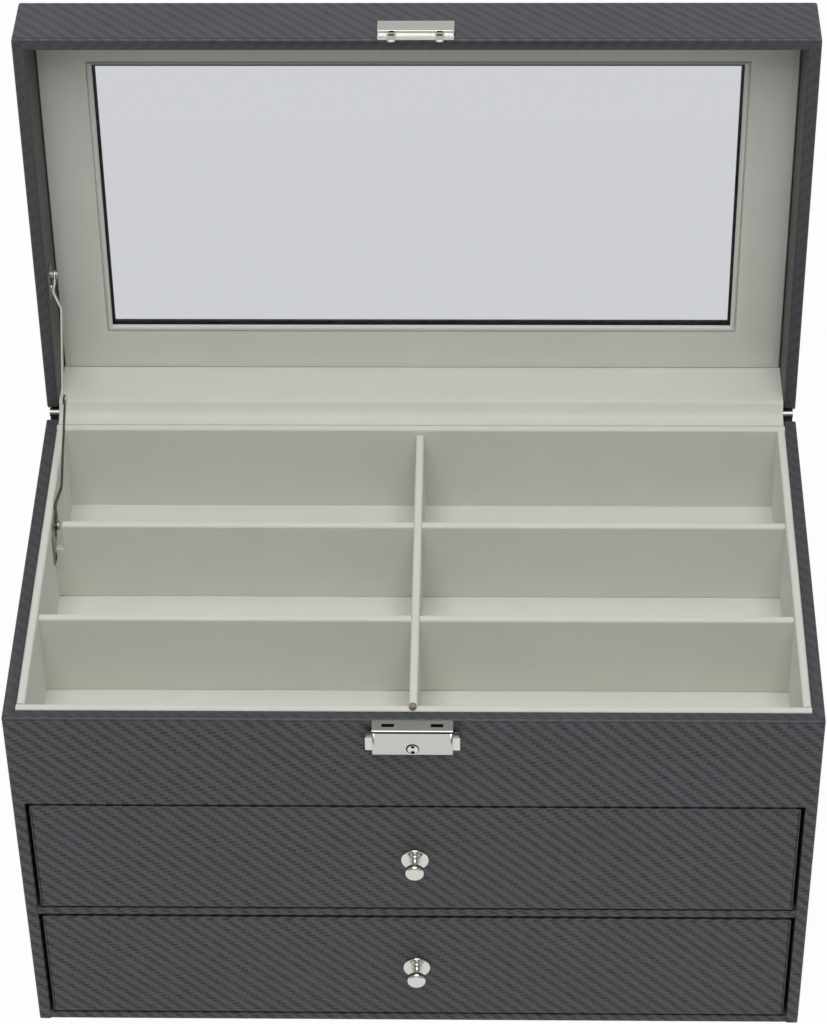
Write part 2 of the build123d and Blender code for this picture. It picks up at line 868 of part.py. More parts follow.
# Key cylinder: its face before the case, its clip behind the shell, its cam
# at the back, pointing up when locked
cylinder_face = case_front - cylinder_proud
cylinder_rear = -half_depth - button_fit
with BuildPart() as lock_cylinder:
    with BuildSketch(Plane.XZ.offset(-cylinder_face)):
        with Locations((0, key_z)):
            Circle(cylinder_radius)
    extrude(amount=cylinder_fit - cylinder_proud)
    with BuildSketch(Plane.XZ.offset(-cylinder_face)):
        with Locations((0, key_z)):
            Circle(cylinder_core_radius)
    extrude(amount=cylinder_face - cylinder_rear)
    with BuildSketch(Plane.XZ.offset(-case_front - case_shell - 2 * cylinder_fit)):
        with Locations((0, key_z)):
            Circle(cylinder_clip_radius)
    extrude(amount=-cylinder_clip)
    with BuildSketch(Plane.XZ.offset(-cylinder_rear)):
        rectangle_between(-cam_width / 2, cam_width / 2, key_z, key_z + cam_length)
    extrude(amount=cam_thickness)
    with BuildSketch(Plane.XZ.offset(-cylinder_face)):
        with Locations((0, key_z)):
            Rectangle(keyway_width, keyway_spacing)
        with Locations((0, key_z - keyway_spacing / 2), (0, key_z + keyway_spacing / 2)):
            Circle(keyway_radius)
    extrude(amount=-keyway_depth, mode=Mode.SUBTRACT)
lock_cylinder.part.label = "lock_cylinder"
export_step(lock_cylinder.part, "parts/lock_cylinder.step")

# Stay: where its arms meet at rest. Together they are a little longer than the
# way between their end pivots, so the elbow stands slightly bent.
lid_pivot = lid_point(0, lid_pivot_y, lid_pivot_rise)
span_y = lid_pivot[1] - base_pivot_y
span_z = lid_pivot[2] - base_pivot_z
span = hypot(span_y, span_z)
upper_arm_length = span + stay_slack - lower_arm_length
along = (lower_arm_length**2 - upper_arm_length**2 + span**2) / (2 * span)
aside = (lower_arm_length**2 - along**2) ** 0.5
elbow_y = base_pivot_y + (along * span_y + aside * span_z) / span
elbow_z = base_pivot_z + (along * span_z - aside * span_y) / span

lower_outer_x = base_plate_x + stay_gap
lower_inner_x = lower_outer_x + lower_joggle
upper_inner_x = lower_inner_x - stay_gap - stay_strip
upper_outer_x = -inner_half + bracket_plate + 2 * pivot_head + stay_gap


def arm_plane(from_y, from_z, to_y, to_z):
    """Return the plane of a bent strip's edge: x along the arm, y along the box's X."""
    length = hypot(to_y - from_y, to_z - from_z)
    run = Vector(0, (to_y - from_y) / length, (to_z - from_z) / length)
    return Plane(origin=(0, from_y, from_z), x_dir=run, z_dir=run.cross(Vector(1, 0, 0)))


def bent_strip(length, outer_x, inner_x, joggle_start):
    """Draw the edge view of a strip that steps from outer_x to inner_x."""
    joggle_end = joggle_start + joggle_length
    start = -stay_width / 2
    end = length + stay_width / 2
    with BuildLine() as edge_view:
        Polyline(
            (start, outer_x),
            (joggle_start, outer_x),
            (joggle_end, inner_x),
            (end, inner_x),
            (end, inner_x + stay_strip),
            (joggle_end, inner_x + stay_strip),
            (joggle_start, outer_x + stay_strip),
            (start, outer_x + stay_strip),
            close=True,
        )
    make_face(edge_view.edges())


def side_view(from_y, from_z, to_y, to_z):
    """Return the plane of an arm's side view, with x along the arm."""
    run = Vector(0, to_y - from_y, to_z - from_z)
    return Plane(origin=(0, from_y, from_z), x_dir=run, z_dir=(1, 0, 0))


def round_ended(length):
    """Draw the side view of an arm, with a half round beyond each pivot."""
    with Locations((length / 2, 0)):
        SlotCenterToCenter(length, stay_width)


with BuildPart() as stay_lower_arm:
    with BuildSketch(arm_plane(base_pivot_y, base_pivot_z, elbow_y, elbow_z)):
        bent_strip(lower_arm_length, lower_outer_x, lower_inner_x, lower_joggle_start)
    extrude(amount=stay_width, both=True)
    with BuildSketch(side_view(base_pivot_y, base_pivot_z, elbow_y, elbow_z)):
        round_ended(lower_arm_length)
    extrude(amount=-box_width, mode=Mode.INTERSECT)
    with BuildSketch(side_view(base_pivot_y, base_pivot_z, elbow_y, elbow_z)):
        Circle(pivot_radius + pivot_fit)
        with Locations((lower_arm_length, 0)):
            Circle(pivot_radius)
    extrude(amount=-box_width, mode=Mode.SUBTRACT)
stay_lower_arm.part.label = "stay_lower_arm"
export_step(stay_lower_arm.part, "parts/stay_lower_arm.step")

with BuildPart() as stay_upper_arm:
    with BuildSketch(arm_plane(lid_pivot[1], lid_pivot[2], elbow_y, elbow_z)):
        bent_strip(upper_arm_length, upper_outer_x, upper_inner_x, upper_joggle_start)
    extrude(amount=stay_width, both=True)
    with BuildSketch(side_view(lid_pivot[1], lid_pivot[2], elbow_y, elbow_z)):
        round_ended(upper_arm_length)
    extrude(amount=-box_width, mode=Mode.INTERSECT)
    with BuildSketch(side_view(lid_pivot[1], lid_pivot[2], elbow_y, elbow_z)):
        Circle(pivot_radius + pivot_fit)
    extrude(amount=-box_width, mode=Mode.SUBTRACT)
stay_upper_arm.part.label = "stay_upper_arm"
export_step(stay_upper_arm.part, "parts/stay_upper_arm.step")

# Elbow rivet, held by the lower arm with its flat foot clear of the upper arm
with BuildPart() as stay_elbow_rivet:
    with BuildSketch(Plane.YZ.offset(lower_inner_x)):
        with Locations((elbow_y, elbow_z)):
            Circle(pivot_radius)
    extrude(amount=stay_strip)
    with BuildSketch(Plane.YZ.offset(lower_inner_x + stay_strip)):
        with Locations((elbow_y, elbow_z)):
            Circle(pivot_head_radius)
    extrude(amount=pivot_head)
    fillet(stay_elbow_rivet.edges().group_by(Axis.X)[-1], radius=pivot_head_round)
stay_elbow_rivet.part.label = "stay_elbow_rivet"
export_step(stay_elbow_rivet.part, "parts/stay_elbow_rivet.step")

# Base bracket: a plate with a foot in front of the rear partition, and its rivet
with BuildPart() as stay_base_bracket:
    with BuildSketch(Plane.YZ.offset(-lining_half)):
        rectangle_between(
            base_foot_back - base_plate_lap,
            base_pivot_y + base_plate_behind,
            base_plate_low,
            base_plate_top,
        )
        rectangle_between(
            base_foot_front, base_foot_back, base_foot_low, base_pivot_z
        )
        with Locations(*base_screw_places):
            Circle(stay_screw_radius + screw_fit, mode=Mode.SUBTRACT)
    extrude(amount=bracket_plate)
    with BuildSketch(Plane.YZ.offset(base_plate_x)):
        with Locations((base_pivot_y, base_pivot_z)):
            Circle(pivot_radius)
    extrude(amount=stay_strip + 2 * stay_gap)
    with BuildSketch(Plane.YZ.offset(lower_outer_x + stay_strip + stay_gap)):
        with Locations((base_pivot_y, base_pivot_z)):
            Circle(pivot_head_radius)
    extrude(amount=pivot_head)
stay_base_bracket.part.label = "stay_base_bracket"
export_step(stay_base_bracket.part, "parts/stay_base_bracket.step")

with BuildPart() as stay_base_screws:
    with BuildSketch(Plane.YZ.offset(base_plate_x)):
        with Locations(*base_screw_places):
            Circle(stay_screw_head_radius)
    extrude(amount=stay_gap)
    with BuildSketch(Plane.YZ.offset(base_plate_x)):
        with Locations(*base_screw_places):
            Circle(stay_screw_radius)
    extrude(amount=-stay_screw_length)
stay_base_screws.part.label = "stay_base_screws"
export_step(stay_base_screws.part, "parts/stay_base_screws.step")

# Lid bracket: a plate with a collar and a rivet for the upper arm
lid_plate_x = -inner_half + bracket_plate
with BuildPart() as stay_lid_bracket:
    with BuildSketch(lid_side_plane(-inner_half)):
        rectangle_between(
            lid_pivot_y - lid_plate_ahead,
            lid_pivot_y + lid_plate_behind,
            lid_pivot_rise - lid_plate_half_width,
            lid_pivot_rise + lid_plate_half_width,
        )
        with Locations(*lid_screw_places):
            Circle(stay_screw_radius + screw_fit, mode=Mode.SUBTRACT)
    extrude(amount=bracket_plate)
    with BuildSketch(lid_side_plane(lid_plate_x)):
        with Locations((lid_pivot_y, lid_pivot_rise)):
            Circle(pivot_head_radius)
    extrude(amount=2 * pivot_head)
    with BuildSketch(lid_side_plane(lid_plate_x)):
        with Locations((lid_pivot_y, lid_pivot_rise)):
            Circle(pivot_radius)
    extrude(amount=2 * pivot_head + stay_strip + 2 * stay_gap)
    with BuildSketch(lid_side_plane(upper_outer_x + stay_strip + stay_gap)):
        with Locations((lid_pivot_y, lid_pivot_rise)):
            Circle(pivot_head_radius)
    extrude(amount=pivot_head)
stay_lid_bracket.part.label = "stay_lid_bracket"
export_step(stay_lid_bracket.part, "parts/stay_lid_bracket.step")

with BuildPart() as stay_lid_screws:
    with BuildSketch(lid_side_plane(lid_plate_x)):
        with Locations(*lid_screw_places):
            Circle(stay_screw_head_radius)
    extrude(amount=stay_screw_head)
    with BuildSketch(lid_side_plane(lid_plate_x)):
        with Locations(*lid_screw_places):
            Circle(stay_screw_radius)
    extrude(amount=-stay_screw_length)
stay_lid_screws.part.label = "stay_lid_screws"
export_step(stay_lid_screws.part, "parts/stay_lid_screws.step")

# Drawers, alike but for the floor that they run on
front_half = inner_half - front_side_gap
side_outer = front_half - drawer_side_inset
side_inner = side_outer - drawer_side
front_back = -half_depth + front_thickness
drawer_rear = back_inner - drawer_back_gap
drawer_inner_rear = drawer_rear - drawer_side
drawer_rows = (drawer_inner_rear - front_back - 2 * drawer_partition) / 3
drawer_cross = [
    front_back + drawer_rows,
    front_back + 2 * drawer_rows + drawer_partition,
]

for name, bay_floor in (("lower_drawer", board), ("upper_drawer", upper_floor)):
    front_low = bay_floor + front_floor_gap
    knob_z = front_low + front_height / 2
    run_low = bay_floor + drawer_run_gap
    wall_top = run_low + drawer_wall_height
    inside_low = run_low + drawer_bottom
    inside_top = wall_top - drawer_partition_drop
    middle = (inside_low + inside_top) / 2

    with BuildPart() as drawer_front:
        with BuildSketch(Plane.XZ.offset(half_depth)):
            rectangle_between(
                -front_half, front_half, front_low, front_low + front_height
            )
            with Locations((0, knob_z)):
                Circle(knob_screw_radius + screw_fit, mode=Mode.SUBTRACT)
        extrude(amount=-front_thickness)
    drawer_front.part.label = f"{name}_front"
    export_step(drawer_front.part, f"parts/{name}_front.step")

    with BuildPart() as drawer_sides:
        with BuildSketch(Plane.XY.offset(run_low)):
            rectangle_between(-side_outer, -side_inner, front_back, drawer_rear)
            rectangle_between(side_inner, side_outer, front_back, drawer_rear)
        extrude(amount=drawer_wall_height)
    drawer_sides.part.label = f"{name}_sides"
    export_step(drawer_sides.part, f"parts/{name}_sides.step")

    with BuildPart() as drawer_back:
        with BuildSketch(Plane.XY.offset(run_low)):
            rectangle_between(-side_inner, side_inner, drawer_inner_rear, drawer_rear)
        extrude(amount=drawer_wall_height)
    drawer_back.part.label = f"{name}_back"
    export_step(drawer_back.part, f"parts/{name}_back.step")

    with BuildPart() as drawer_floor:
        with BuildSketch(Plane.XY.offset(run_low)):
            rectangle_between(-side_inner, side_inner, front_back, drawer_inner_rear)
        extrude(amount=drawer_bottom)
    drawer_floor.part.label = f"{name}_floor"
    export_step(drawer_floor.part, f"parts/{name}_floor.step")

    with BuildPart() as drawer_centre:
        with BuildSketch(Plane.YZ.offset(-drawer_partition / 2)):
            rectangle_between(front_back, drawer_inner_rear, inside_low, inside_top)
            for low in drawer_cross:
                with Locations((low + drawer_partition / 2, inside_low)):
                    Rectangle(
                        drawer_partition + 2 * lap_fit,
                        2 * (middle - inside_low + lap_fit),
                        mode=Mode.SUBTRACT,
                    )
            with Locations((front_back, knob_z)):
                Rectangle(
                    2 * (knob_screw_head + drawer_run_gap),
                    2 * (knob_screw_head_radius + drawer_run_gap),
                    mode=Mode.SUBTRACT,
                )
        extrude(amount=drawer_partition)
    drawer_centre.part.label = f"{name}_centre_partition"
    export_step(drawer_centre.part, f"parts/{name}_centre_partition.step")

    with BuildPart() as drawer_crosses:
        for low in drawer_cross:
            with BuildSketch(Plane.XZ.offset(-low)):
                rectangle_between(-side_inner, side_inner, inside_low, inside_top)
                with Locations((0, inside_top)):
                    Rectangle(
                        drawer_partition + 2 * lap_fit,
                        2 * (inside_top - middle),
                        mode=Mode.SUBTRACT,
                    )
            extrude(amount=-drawer_partition)
    drawer_crosses.part.label = f"{name}_cross_partitions"
    export_step(drawer_crosses.part, f"parts/{name}_cross_partitions.step")

    knob_axis = Axis((0, 0, knob_z), (0, 1, 0))
    knob_screw_length = front_thickness + rosette_thickness + knob_screw_bite - screw_end_gap
    rosette_face = -half_depth - rosette_thickness

    with BuildPart() as rosette:
        with BuildSketch(Plane.XY.offset(knob_z)):
            with BuildLine():
                Polyline(
                    (neck_radius + lap_fit, rosette_face - ring_height),
                    (ring_radius - ring_bevel_width, rosette_face - ring_height),
                    (ring_radius, rosette_face - ring_height + ring_bevel_height),
                    (ring_radius, rosette_face),
                    (rosette_radius - rosette_bevel, rosette_face),
                    (rosette_radius, rosette_face + rosette_bevel),
                    (rosette_radius, -half_depth),
                    (knob_screw_radius + screw_fit, -half_depth),
                    (knob_screw_radius + screw_fit, rosette_face),
                    (neck_radius + lap_fit, rosette_face),
                    close=True,
                )
            make_face()
        revolve(axis=knob_axis)
    rosette.part.label = f"{name}_rosette"
    export_step(rosette.part, f"parts/{name}_rosette.step")

    neck_end = rosette_face - neck_length
    flare_end = neck_end - knob_flare
    rim_start = flare_end - knob_rim_bevel
    rim_end = flare_end - knob_rim
    knob_tip = rosette_face - knob_length
    dome_radius = (knob_face_radius**2 + knob_crown**2) / (2 * knob_crown)
    with BuildPart() as knob:
        with BuildSketch(Plane.XY.offset(knob_z)):
            with BuildLine():
                Line((0, rosette_face), (neck_radius, rosette_face))
                Line((neck_radius, rosette_face), (neck_radius, neck_end))
                flare = JernArc(
                    start=(neck_radius, neck_end),
                    tangent=(0, -1),
                    radius=knob_flare,
                    arc_size=knob_flare_turn,
                )
                Line(flare @ 1, (knob_radius, rim_start))
                Line((knob_radius, rim_start), (knob_radius, rim_end))
                dome = JernArc(
                    start=(0, knob_tip),
                    tangent=(1, 0),
                    radius=dome_radius,
                    arc_size=degrees(asin(knob_face_radius / dome_radius)),
                )
                Line((knob_radius, rim_end), dome @ 1)
                Line((0, knob_tip), (0, rosette_face))
            make_face()
        revolve(axis=knob_axis)
        with BuildSketch(Plane.XZ.offset(-rosette_face)):
            with Locations((0, knob_z)):
                Circle(knob_screw_radius + screw_fit)
        extrude(amount=knob_screw_bite, mode=Mode.SUBTRACT)
    knob.part.label = f"{name}_knob"
    export_step(knob.part, f"parts/{name}_knob.step")

    with BuildPart() as knob_screw:
        with BuildSketch(Plane.XZ.offset(-front_back)):
            with Locations((0, knob_z)):
                Circle(knob_screw_head_radius)
        extrude(amount=-knob_screw_head)
        fillet(knob_screw.edges().group_by(Axis.Y)[-1], radius=knob_screw_round)
        with BuildSketch(Plane.XZ.offset(-front_back)):
            with Locations((0, knob_z)):
                Circle(knob_screw_radius)
        extrude(amount=knob_screw_length)
    knob_screw.part.label = f"{name}_knob_screw"
    export_step(knob_screw.part, f"parts/{name}_knob_screw.step")

print("rim at", round(rim, 3), "hinge axis at y", half_depth)
print("lid pivot", [round(value, 3) for value in lid_pivot])
print("base pivot", base_pivot_y, base_pivot_z)
print("elbow", round(elbow_y, 3), round(elbow_z, 3))
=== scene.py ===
# %% [markdown]
# # Eyeglasses storage box
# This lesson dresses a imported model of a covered-board box: a divided tray under
# a hinged lid with a window, over two drawers. The boards, the hinge, the lock
# and the stay already stand at their real size. Here each gets the surface that
# a hand would feel: woven leatherette, velvet, nickel and glass.

# %% The frame and its own box
import json

import bmesh
import bpy
import numpy as np
from mathutils import Matrix


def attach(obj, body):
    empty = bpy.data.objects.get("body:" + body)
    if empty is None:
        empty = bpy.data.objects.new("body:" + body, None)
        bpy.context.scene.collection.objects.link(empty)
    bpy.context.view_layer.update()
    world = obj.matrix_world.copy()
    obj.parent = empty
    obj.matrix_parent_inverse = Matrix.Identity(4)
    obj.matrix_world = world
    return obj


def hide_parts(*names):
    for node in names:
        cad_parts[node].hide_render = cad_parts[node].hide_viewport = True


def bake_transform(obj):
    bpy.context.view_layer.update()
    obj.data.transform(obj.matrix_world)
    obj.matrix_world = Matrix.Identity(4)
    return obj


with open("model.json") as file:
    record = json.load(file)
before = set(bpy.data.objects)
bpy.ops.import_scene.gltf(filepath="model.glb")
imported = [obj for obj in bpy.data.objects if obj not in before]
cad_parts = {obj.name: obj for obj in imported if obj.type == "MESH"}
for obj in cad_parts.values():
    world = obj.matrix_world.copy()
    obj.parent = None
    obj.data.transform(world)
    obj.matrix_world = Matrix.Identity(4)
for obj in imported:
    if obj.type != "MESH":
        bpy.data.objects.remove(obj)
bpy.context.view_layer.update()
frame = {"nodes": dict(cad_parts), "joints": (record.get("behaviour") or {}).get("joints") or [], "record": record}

# %% [markdown]
# Every size below is in millimetres, read from the model itself. A board's place
# comes from the corners of its node, so nothing has to be fitted afterwards.

# %% Sizes read from the base
MM = 0.001
HAIR = 0.01  # places closer than this count as one


def read(items, field, width=3, kind=float):
    """Return one field of every item of a mesh as an array, one row for each."""
    values = np.empty(len(items) * width, kind)
    items.foreach_get(field, values)
    return values.reshape(-1, width)


def node_points(name):
    """Return a node's vertices in millimetres, one row each."""
    return read(frame["nodes"][name].data.vertices, "co") / MM


def span(name):
    """Return the lowest and the highest corner of a node, in millimetres."""
    points = node_points(name)
    return points.min(axis=0).round(3), points.max(axis=0).round(3)


(half_width, front, _), (inner_half, back, rim) = span("side_wall_left")
half_width, inner_half = -half_width, -inner_half
wall = half_width - inner_half
side_points = node_points("side_wall_left")
groove = rim - side_points[side_points[:, 1] > back - HAIR][:, 2].max()
print("box", 2 * half_width, "wide, rim at", rim, "walls", wall, "groove", groove)

# %% [markdown]
# The lid stands open, so its boards are tilted in the room. They are easier to
# draw shut: x across, y from the front edge to the hinge, and the height above
# the lid's own rim. One turn about the hinge pin then brings each drawn point to
# where it stands.

# %% The lid's own frame
joints = {joint["name"]: joint for joint in frame["joints"]}
axis_y, axis_z = np.array(joints["lid_hinge"]["pos_m"][1:]) / MM
tilt = np.radians(joints["lid_hinge"]["range_deg"][1])


def open_lid(points):
    """Turn points of the shut lid's frame about the hinge pin to where they stand."""
    x, y, height = points.T
    depth = axis_y + y * np.cos(tilt) + height * np.sin(tilt)
    return np.stack([x, depth, axis_z - y * np.sin(tilt) + height * np.cos(tilt)], axis=1)


def lid_span(name):
    """Return a lid node's lowest and highest corner in the shut lid's frame."""
    x, y, z = node_points(name).T
    y, z = y - axis_y, z - axis_z
    height = y * np.sin(tilt) + z * np.cos(tilt)
    points = np.stack([x, y * np.cos(tilt) - z * np.sin(tilt), height], axis=1)
    return points.min(axis=0).round(3), points.max(axis=0).round(3)


print("top board in the lid's frame", lid_span("lid_top_frame"))

# %% [markdown]
# ## Building surfaces
# A surface is a grid of points: rows along one direction, columns along the
# other. Four neighbours make a face. A closed shell is a grid whose columns join
# up, with its two ends covered. Each piece is made of such shells; points that
# fall together at a sharp corner are merged, and the faces are turned outwards.

# %% Grids and shells
MERGE = 1e-3  # points closer than this become one


def cells(rows, columns, joined_rows=False, joined_columns=False):
    """Return the corner numbers of every face of a grid of rows by columns."""
    row = np.arange(rows if joined_rows else rows - 1)
    column = np.arange(columns if joined_columns else columns - 1)
    row, column = np.meshgrid(row, column, indexing="ij")
    here, beside = row * columns, (row + 1) % rows * columns
    onward = (column + 1) % columns
    corners = [here + column, here + onward, beside + onward, beside + column]
    return np.stack(corners, axis=-1).reshape(-1, 4)


def ladder(first, last):
    """Close a ring of points numbered first to last by rungs from side to side."""
    rungs = []
    while last - first > 2:
        rungs.append((first, first + 1, last - 1, last))
        first, last = first + 1, last - 1
    if last - first == 2:
        rungs.append((first, first + 1, last))
    return rungs


def capped(rings):
    """Join rings of points, one ring in each row, and close both ends by ladders."""
    rings = np.array(rings)
    rows, count = rings.shape[:2]
    total = rows * count
    faces = cells(rows, count, joined_columns=True).tolist()
    return rings.reshape(-1, 3), faces + ladder(0, count - 1) + ladder(total - count, total - 1)


def clean_shell(points, faces):
    """Return one shell as a mesh, merged and with its faces outwards."""
    mesh = bpy.data.meshes.new("shell")
    mesh.from_pydata(points.tolist(), [], faces)
    shell = bmesh.new()
    shell.from_mesh(mesh)
    bmesh.ops.remove_doubles(shell, verts=shell.verts, dist=MERGE)
    bmesh.ops.dissolve_degenerate(shell, dist=MERGE, edges=shell.edges)
    bmesh.ops.recalc_face_normals(shell, faces=shell.faces)
    shell.to_mesh(mesh)
    shell.free()
    return mesh


print("a shell of 3 rings of 8 points has", len(capped(np.zeros((3, 8, 3)))[1]), "faces")

# %% [markdown]
# The leatherette's pattern must follow the sheet round each edge, so every face
# needs its place on the sheet: a UV map, written in millimetres. Then the mesh
# becomes an object at the origin, takes its finish and rides on its body.

# %% The sheet's own map


def lay_sheet(mesh, mitres):
    """Lay a sheet's millimetres over the mesh as its UV map.

    Each face takes the two coordinates that it faces least: across and up on a
    front, along and up on a side. On a rim the sheet follows the nearer wall, so
    that it changes direction at a mitre from corner to corner.
    """
    normals, centres = read(mesh.polygons, "normal"), read(mesh.polygons, "center")
    sizes = read(mesh.polygons, "loop_total", 1, int).ravel()
    owners = read(mesh.loops, "vertex_index", 1, int).ravel()
    facing = np.abs(normals).argmax(axis=1)
    along_side = np.zeros(len(facing), bool)
    if mitres:
        x_out, y_front, y_back = mitres
        from_side = x_out - np.abs(centres[:, 0])
        from_end = np.minimum(centres[:, 1] - y_front, y_back - centres[:, 1])
        along_side = (facing == 2) & (from_side < from_end)
    turn = np.where(normals.max(axis=1) > -normals.min(axis=1), 1.0, -1.0)
    facing, along_side, turn = (np.repeat(a, sizes) for a in (facing, along_side, turn))
    x, y, z = read(mesh.vertices, "co")[owners].T
    across = np.select([facing == 0, facing == 1], [y * turn, -x * turn], x)
    upward = np.where(facing == 2, y, z)
    across, upward = np.where(along_side, y, across), np.where(along_side, x, upward)
    layer = mesh.uv_layers.new(name="sheet")
    layer.data.foreach_set("uv", np.stack([across, upward], axis=1).ravel())


# %% Pieces
SHARP = np.radians(38)  # a fold steeper than this shows as an edge


def new_object(name, data):
    """Put a mesh, a lamp or the camera into the scene as an object."""
    thing = bpy.data.objects.new(name, data)
    bpy.context.scene.collection.objects.link(thing)
    return thing


def seat(name, mesh, finish, body, stands_for=()):
    """Give a mesh its finish, and seat it on the body that carries it."""
    piece = new_object(name, mesh)
    material, slot = finish
    mesh.materials.clear()
    mesh.materials.append(material)
    if body:
        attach(piece, body)
    if stands_for:
        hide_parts(*stands_for)
    print(name, "has", len(mesh.polygons), "faces")
    return piece


def make_piece(name, shells, finish, body, stands_for=(), place=None, mitres=None):
    """Build a piece from closed shells drawn in millimetres, and seat it on a body."""
    whole = bmesh.new()
    for points, faces in shells:
        mesh = clean_shell(points, faces)
        whole.from_mesh(mesh)
        bpy.data.meshes.remove(mesh)
    mesh = bpy.data.meshes.new(name)
    whole.to_mesh(mesh)
    whole.free()
    lay_sheet(mesh, mitres)
    mesh.polygons.foreach_set("use_smooth", np.ones(len(mesh.polygons), bool))
    mesh.set_sharp_from_angle(angle=SHARP)
    points = read(mesh.vertices, "co")
    placed = place(points) if place else points
    mesh.vertices.foreach_set("co", (placed * MM).ravel())
    mesh.update()
    return seat(name, mesh, finish, body, stands_for)


def mark(mesh, name, values, domain="FACE"):
    """Store a number on each face or point, which a finish reads by its name."""
    layer = mesh.attributes.new(name, "FLOAT", domain)
    layer.data.foreach_set("value", values.astype(float))


# %% [markdown]
# A covered board is cut square, but its sheet is pulled over the edges, so each
# edge is a quarter round a bit larger than the sheet is thick. The outline of a
# board is a ring of corners, each with its own radius, and the ring is carried
# through the board's thickness, drawn in at both faces by the same quarter round.

# %% Rounded corners
ROUND_STEPS = 6
FLAT_MARGIN = 0.25  # a strip beside each round that keeps the flat face's shading flat
SHARPEST = 0.25  # keeps a point on a very narrow corner from shooting away
QUARTER = np.linspace(0, np.pi / 2, ROUND_STEPS + 1)
ARC_IN, ARC_DOWN = 1 - np.sin(QUARTER), 1 - np.cos(QUARTER)


def round_corners(corners):
    """Replace each corner (a, b, radius) by an arc that touches both its edges.

    The arc's centre lies on the corner's bisector, and the arc turns through the
    angle between the two edges.
    """
    corners = np.array(corners, float)
    share = np.linspace(0, 1, ROUND_STEPS + 1)[:, None]
    rounded = []
    for index, (a, b, radius) in enumerate(corners):
        here = np.array([a, b])
        if radius == 0:
            rounded.append(here)
            continue
        before = corners[index - 1][:2] - here
        after = corners[(index + 1) % len(corners)][:2] - here
        before, after = before / np.linalg.norm(before), after / np.linalg.norm(after)
        half = np.arccos(np.clip(before @ after, -1, 1)) / 2
        inward = (before + after) / np.linalg.norm(before + after)
        centre = here + inward * radius / np.sin(half)
        start = here + before * radius / np.tan(half) - centre
        end = here + after * radius / np.tan(half) - centre
        sweep = np.pi - 2 * half
        arc = np.sin((1 - share) * sweep) * start + np.sin(share * sweep) * end
        rounded.append(centre + start + before * FLAT_MARGIN)
        rounded.extend(centre + arc / np.sin(sweep))
        rounded.append(centre + end + after * FLAT_MARGIN)
    return np.array(rounded)


# %% Boards with drawn-in edges


def drawn_in(ring, distance):
    """Move a ring's points inwards, each along the bisector of its two edges."""
    normals = []
    for edge in (ring - np.roll(ring, 1, axis=0), np.roll(ring, -1, axis=0) - ring):
        length = np.maximum(np.linalg.norm(edge, axis=1, keepdims=True), 1e-9)
        normals.append(np.stack([-edge[:, 1], edge[:, 0]], axis=1) / length)
    a, b = ring.T
    twice_area = np.sum(a * np.roll(b, -1) - b * np.roll(a, -1))
    total = (normals[0] + normals[1]) * np.sign(twice_area)
    scale = np.maximum(1 + np.sum(normals[0] * normals[1], axis=1, keepdims=True), SHARPEST)
    return ring + total * distance / scale


def board(corners, axis, low, high, edge=0.0):
    """Carry a rounded outline along an axis from low to high, drawn in at both faces.

    At a turn of t through the quarter round, a ring lies edge * (1 - cos t) from
    the face and edge * (1 - sin t) inside the outline.
    """
    ring = round_corners(corners)
    inset, depth = np.zeros(1), np.zeros(1)
    if edge:
        inset = np.array([edge + FLAT_MARGIN, *(edge * ARC_IN), 0.0])
        depth = np.array([0.0, *(edge * ARC_DOWN), edge + FLAT_MARGIN])
    insets = np.concatenate([inset, inset[::-1]])
    places = np.concatenate([low + depth, (high - depth)[::-1]])
    rings = [drawn_in(ring, distance) for distance in insets]
    return capped([np.insert(flat, axis, place, axis=1) for flat, place in zip(rings, places)])


def rectangle(left, right, low, high, radii=0):
    """Return a rectangle's corners (a, b, radius), from low left round to high left."""
    places = ((left, low), (right, low), (right, high), (left, high))
    return [(*place, radius) for place, radius in zip(places, np.broadcast_to(radii, 4))]


print("a round edge has", ROUND_STEPS, "steps")

# %% [markdown]
# The case and the lid are walls that one strip of leatherette wraps: up the
# outside, over the rim and down the inside. At a corner the strip is cut at 45
# degrees, which shows as a fine line across the rim. Carrying the wall's section
# round the plan gives that mitre by itself.

# %% Walls carried round a plan
EDGE, CORNER = 0.8, 1.0  # the rounds along the rim and up the box's corners
SEAM = 0.22
LEG = 3  # how many points a straight leg of the plan has before the corner's arc


def plan(inset, y_front, y_back, chamfer):
    """Return the plan of three walls, left, front and right, at an inset from outside.

    For an inset q the corner's arc has radius CORNER - q, and is sharp once q is
    larger than CORNER.
    """
    stand, radius = max(CORNER, inset), max(CORNER - inset, 0.0)
    arc_x = -(half_width - stand) - radius * np.cos(QUARTER)
    arc_y = y_front + stand - radius * np.sin(QUARTER)
    leg_y = [y_back, y_back - chamfer, y_front + stand + FLAT_MARGIN]
    x = np.array([*[inset - half_width] * LEG, *arc_x, stand - half_width + FLAT_MARGIN])
    y = np.array([*leg_y, *arc_y, y_front + inset])
    return np.concatenate([x, -x[::-1]]), np.concatenate([y, y[::-1]])


def wall_section(tall):
    """Return a wall's section as (inset, depth below the rim), both edges rounded.

    Below the outer round lies a fine groove, where the rim's strip ends.
    """
    arc_in, arc_down = EDGE * ARC_IN, EDGE * ARC_DOWN
    margin = EDGE + FLAT_MARGIN
    seam_in = [0, 0, SEAM, SEAM, 0]
    seam_down = [tall, EDGE + 3 * SEAM, EDGE + 2.5 * SEAM, EDGE + 1.5 * SEAM, EDGE + SEAM]
    inset = [*seam_in, *arc_in[::-1], margin, wall - margin, *(wall - arc_in), wall, wall]
    depth = [*seam_down, *arc_down[::-1], 0, 0, *arc_down, margin, tall]
    return inset, depth


